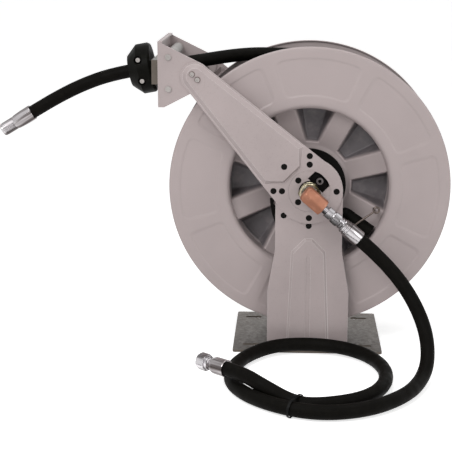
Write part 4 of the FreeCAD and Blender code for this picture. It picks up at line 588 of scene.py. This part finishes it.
# The inlet hose's free end: tapered ferrule and swivel nut
END_FERRULE = [(0.0, 0.0146), (0.0, 0.0166), (0.0012, 0.0172), (0.0270, 0.0172),
               (0.0300, 0.0168), (0.0345, 0.0152), (0.0385, 0.0136), (0.0400, 0.0122),
               (0.0412, 0.0108), (0.0436, 0.0104), (0.0446, 0.0118), (0.0450, 0.0118),
               (0.0450, 0.0060)]
end_ferrule = turned_piece("inlet_end_ferrule_crimped", END_FERRULE, INLET_END, inlet_way,
                           "bright_steel", "stand", ["inlet_end_ferrule"], "streak_reflection_steel", 1.9)
end_nut = turned_piece("inlet_end_nut_turned", [
    (0.0, 0.0096), (0.0, 0.0128), (0.0010, 0.0140), (0.0034, 0.0144), (0.0042, 0.0136),
    (0.0056, 0.0136)] + nut_stations(0.0058, 0.0205, 0.0318, 0.0150, 0.0050)
    + [(0.0266, 0.0118), (0.0180, 0.0112)],
    INLET_END + inlet_way * (FERRULE_LENGTH + 0.0003), inlet_way, "bright_steel",
    "inlet_end_nut", ["inlet_end_nut"], "streak_reflection_nut", 0.3)

# The outlet hose's threaded end
outlet_start = Vector(OUTLET_POINTS[-1])
outlet_end = turned_piece("outlet_end_crimped", [
    (0.0, 0.0146), (0.0, 0.0166), (0.0012, 0.0172), (0.0200, 0.0171), (0.0330, 0.0164),
    (0.0420, 0.0156), (0.0440, 0.0150), (0.0446, 0.0139), (0.0462, 0.0139),
    (0.0470, 0.0147)] + thread_stations(0.0480, 0.0260, 0.0147, 0.0141, 0.0018)
    + [(0.0755, 0.0144), (0.0780, 0.0134), (0.0790, 0.0122), (0.0790, 0.0088),
       (0.0700, 0.0082)],
    outlet_start, outlet_way, "bright_steel", "stand", ["outlet_fitting"], "streak_reflection_steel", 0.9)

# The short hose from the drum elbow to the dish wall
drum_way = Vector((0.8165, -0.1736, -0.5507)).normalized()
drum_elbow_end = Vector((0.0800, -0.0655, 0.2910))
hose_curve("drum_inlet_hose_cover",
           [drum_elbow_end, drum_elbow_end + drum_way * 0.030,
            drum_elbow_end + drum_way * 0.066], "drum", ["drum_inlet_hose"])

# ---------------------------------------------------------------- black plugs: painted shade in spare holes

ARM_FACE, TRAY_FACE, POST_FACE = 0.1245, 0.1315, 0.1210
PLUG_RADIUS = 0.0064
PLUG_CIRCLE = 0.0755
PLUG_SUNK = 0.0015             # its back edge below the sheet's face
PLUG_SHAPE = [(0.0, 0.004), (0.0, PLUG_RADIUS), (0.0013, PLUG_RADIUS),
              (0.0018, PLUG_RADIUS * 0.92), (0.0021, PLUG_RADIUS * 0.7),
              (0.0023, PLUG_RADIUS * 0.4), (0.0023, 0.0008)]


def shade_plug(name, angle, level, side):
    """A low domed black plug in a spare bolt hole, standing in for the shade inside the open hole.
    """
    spot = math.radians(angle)
    start = (PLUG_CIRCLE * math.cos(spot), side * (level - PLUG_SUNK),
             HUB + PLUG_CIRCLE * math.sin(spot))
    turned_piece(name, PLUG_SHAPE, start, (0, side, 0), "black_steel", "stand")


for face, side in (("front", -1), ("rear", 1)):
    for angle, level in ((90, ARM_FACE), (135, TRAY_FACE), (180, ARM_FACE),
                         (225, POST_FACE), (270, POST_FACE)):
        shade_plug(f"{face}_plug_{angle}", angle, level, side)

# ---------------------------------------------------------------- drum discs

MM = 0.001
DISC_FACE, DISC_RADIUS, DISC_SHEET = 90, 300, 2.5
OPENING, OPENING_BEND = 170, 12
SPOKE, FLOOR, TROUGH = 27, 59, 72      # depths behind the disc's face
HUB_RING, TROUGH_HALF = 86, math.radians(14.7)
TROUGH_INNER, TROUGH_OUTER = 88, 169.4
TROUGH_WALL, TROUGH_TOE, TROUGH_DRAFT = 14, 9.5, 2
PANEL_INNER, PANEL_OUTER, PANEL_HALF = 197, 277, math.radians(19.4)
PANEL_CORNER, PANEL_DEPTH = 13, 1.5
CELLS, CELL_START = 8, math.radians(86.2)
AROUND = 480


def soft_least(values, blend):
    """The least of some values, rounded off where two are close."""
    least = values[0]
    for value in values[1:]:
        share = max(blend - abs(least - value), 0) / blend
        least = min(least, value) - share * share * blend / 4
    return least


def cone_depth(radius):
    """Depth of the spokes' side of the dish."""
    if radius <= HUB_RING:
        return FLOOR
    return FLOOR - (FLOOR - SPOKE) * (radius - HUB_RING) / (OPENING - HUB_RING)


def dish_depth(radius, off):
    """Depth in the dish at an angle off a trough's middle, and how deep in a trough."""
    cone = cone_depth(radius)
    if radius < HUB_RING - 3:
        return cone, 0
    side = radius * math.sin(TROUGH_HALF - abs(off)) / TROUGH_WALL
    toe = (radius * math.cos(off) - TROUGH_INNER * math.cos(TROUGH_HALF)) / TROUGH_TOE
    outer = (TROUGH_OUTER - radius + 1.5) / TROUGH_DRAFT
    fall = soft_least([side, toe, outer, 1], 0.16)
    trough = SPOKE + (TROUGH - SPOKE) * fall
    depth = -soft_least([-cone, -trough], 5)
    return depth, min(1, max(0, (trough - cone - 3) / 12))


def panel_depth(radius, off):
    side = radius * math.sin(PANEL_HALF - abs(off))
    end = min(radius - PANEL_INNER, PANEL_OUTER - radius)
    if side < PANEL_CORNER and end < PANEL_CORNER:
        inside = PANEL_CORNER - math.hypot(PANEL_CORNER - side, PANEL_CORNER - end)
    else:
        inside = min(side, end)
    share = min(1, max(0, (inside + 0.8) / 3.4))
    return PANEL_DEPTH * share * share * (3 - 2 * share)


def disc_rings():
    """Rings from the bore to the turned rim as (radius, depth, zone)."""
    rings = [(33, FLOOR, "dish"), (70, FLOOR, "dish"), (80, FLOOR, "dish")]
    rings += [(radius, None, "dish") for radius in (83, 85, 87, 89, 91, 93, 95, 97, 99, 102)]
    rings += [(radius, None, "dish") for radius in range(106, 166, 5)]
    rings += [(165, None, "dish"), (167, None, "dish"), (168.4, None, "dish"),
              (169.4, None, "dish")]
    rings += [(OPENING, depth, "wall") for depth in (SPOKE - 1, 20, OPENING_BEND + 1)]
    for step in range(6):
        angle = math.pi / 2 * step / 5
        rings.append((OPENING + OPENING_BEND * (1 - math.cos(angle)),
                      OPENING_BEND * (1 - math.sin(angle)), "bend"))
    rings += [(188, 0, "flange")]
    edges = [193, 195.5, 197, 198.5, 200, 202, 205, 208.5, 212]
    rings += [(radius, 0, "flange") for radius in edges]
    rings += [(radius, 0, "flange") for radius in range(222, 262, 10)]
    rings += [(PANEL_INNER + PANEL_OUTER - radius, 0, "flange") for radius in reversed(edges)]
    rings += [(288, 0, "flange"), (296, 0, "flange"), (298.2, 0.35, "rim"), (299.5, 1.5, "rim"),
              (DISC_RADIUS, 3.2, "rim"), (DISC_RADIUS, 7, "rim")]
    return rings


def pressed_disc(node, side):
    """A drum disc pressed from sheet: panels in the flange, spokes and troughs in the dish."""
    rings = disc_rings()
    shape = bmesh.new()
    # a per-vertex share of painted shade, read by the disc paint
    shade_layer = shape.verts.layers.float.new("trough_shade")
    rows = []
    cell = 2 * math.pi / CELLS
    for radius, depth, zone in rings:
        row = []
        for step in range(AROUND):
            angle = 2 * math.pi * step / AROUND
            off = (angle - CELL_START + cell / 2) % cell - cell / 2
            fall, trough_shade = depth, 0
            if zone == "dish":
                fall, trough_shade = dish_depth(radius, off)
            elif zone == "wall":
                deep, trough_shade = dish_depth(TROUGH_OUTER - 2, off)
                fall = depth + (deep - SPOKE) * max(0, (depth - 14) / (SPOKE - 14)) * 0.96
            elif zone == "flange":
                fall = panel_depth(radius, off)
            level = side * (DISC_FACE - fall) * MM
            vert = shape.verts.new((radius * MM * math.cos(angle), level,
                                    HUB + radius * MM * math.sin(angle)))
            # painted shade: darker down in the troughs, about a third as dark on the opening's
            # wall
            vert[shade_layer] = trough_shade * (0.35 if zone == "wall" else 1)
            row.append(vert)
        rows.append(row)
    for inner, outer in zip(rows, rows[1:]):
        for step in range(AROUND):
            after = (step + 1) % AROUND
            corners = [inner[step], inner[after], outer[after], outer[step]]
            shape.faces.new(corners if side > 0 else corners[::-1])
    for face in shape.faces:
        face.smooth = True
    mesh = bpy.data.meshes.new(node + "_pressed")
    shape.to_mesh(mesh)
    shape.free()
    made = add_object(node + "_pressed", mesh, "painted_steel", "drum", [node], "pressed_steel")
    sheet = made.modifiers.new("sheet", "SOLIDIFY")
    sheet.thickness = DISC_SHEET * MM
    sheet.offset = -1
    return made


pressed_disc("front_drum_disc", -1)
pressed_disc("rear_drum_disc", 1)

# ---------------------------------------------------------------- floor, light and background

FLOOR_GLOW = 0.68
WORLD_LIGHT = 0.30


def make_stage():
    size = 30.0
    mesh = bpy.data.meshes.new("floor")
    mesh.from_pydata([(-size, -size, 0), (size, -size, 0), (size, size, 0), (-size, size, 0)],
                     [], [(0, 1, 2, 3)])
    floor = bpy.data.objects.new("floor", mesh)
    scene.collection.objects.link(floor)
    floor.location.z = -0.0006
    made, tree, shader = new_material("floor")
    shader.inputs["Base Color"].default_value = (0.9, 0.9, 0.9, 1)
    shader.inputs["Roughness"].default_value = 0.9
    path = put(tree, "ShaderNodeLightPath")
    glow = put(tree, "ShaderNodeEmission", in_Color=(1, 1, 1, 1))
    most = put(tree, "ShaderNodeMath", operation="MAXIMUM")
    scale = put(tree, "ShaderNodeMath", operation="MULTIPLY")
    scale.inputs[1].default_value = FLOOR_GLOW
    tree.links.new(path.outputs["Is Camera Ray"], most.inputs[0])
    tree.links.new(path.outputs["Is Glossy Ray"], most.inputs[1])
    tree.links.new(most.outputs[0], scale.inputs[0])
    tree.links.new(scale.outputs[0], glow.inputs["Strength"])
    add = put(tree, "ShaderNodeAddShader")
    tree.links.new(shader.outputs[0], add.inputs[0])
    tree.links.new(glow.outputs[0], add.inputs[1])
    tree.links.new(add.outputs[0], tree.nodes["Material Output"].inputs["Surface"])
    mesh.materials.append(made)


def make_world():
    world = bpy.data.worlds.new("studio")
    scene.world = world
    world.use_nodes = True
    tree = world.node_tree
    light = tree.nodes["Background"]
    light.inputs["Color"].default_value = (1, 0.99, 0.98, 1)
    light.inputs["Strength"].default_value = WORLD_LIGHT
    shown = put(tree, "ShaderNodeBackground", in_Color=(1, 1, 1, 1), in_Strength=1.0)
    path = put(tree, "ShaderNodeLightPath")
    source = path.outputs["Is Camera Ray"]
    for name in ("Is Glossy Ray", "Is Transmission Ray"):
        most = put(tree, "ShaderNodeMath", operation="MAXIMUM")
        tree.links.new(source, most.inputs[0])
        tree.links.new(path.outputs[name], most.inputs[1])
        source = most.outputs[0]
    mix = put(tree, "ShaderNodeMixShader")
    tree.links.new(source, mix.inputs["Fac"])
    tree.links.new(light.outputs[0], mix.inputs[1])
    tree.links.new(shown.outputs[0], mix.inputs[2])
    tree.links.new(mix.outputs[0], tree.nodes["World Output"].inputs["Surface"])


def area_light(name, place, aim, size, watts):
    data = bpy.data.lights.new(name, "AREA")
    data.shape = "RECTANGLE"
    data.size, data.size_y = size
    data.energy = watts
    lamp = bpy.data.objects.new(name, data)
    lamp.location = place
    lamp.rotation_euler = (Vector(aim) - Vector(place)).to_track_quat("-Z", "Y").to_euler()
    scene.collection.objects.link(lamp)


make_stage()
make_world()
area_light("key", (-1.3, -2.4, 2.3), (0, 0, 0.35), (1.4, 1.4), 46)
area_light("fill", (2.1, -2.3, 1.3), (0, 0, 0.35), (1.3, 1.3), 18)
area_light("top", (0.2, -0.3, 2.9), (0, 0, 0.3), (2.0, 1.6), 20)
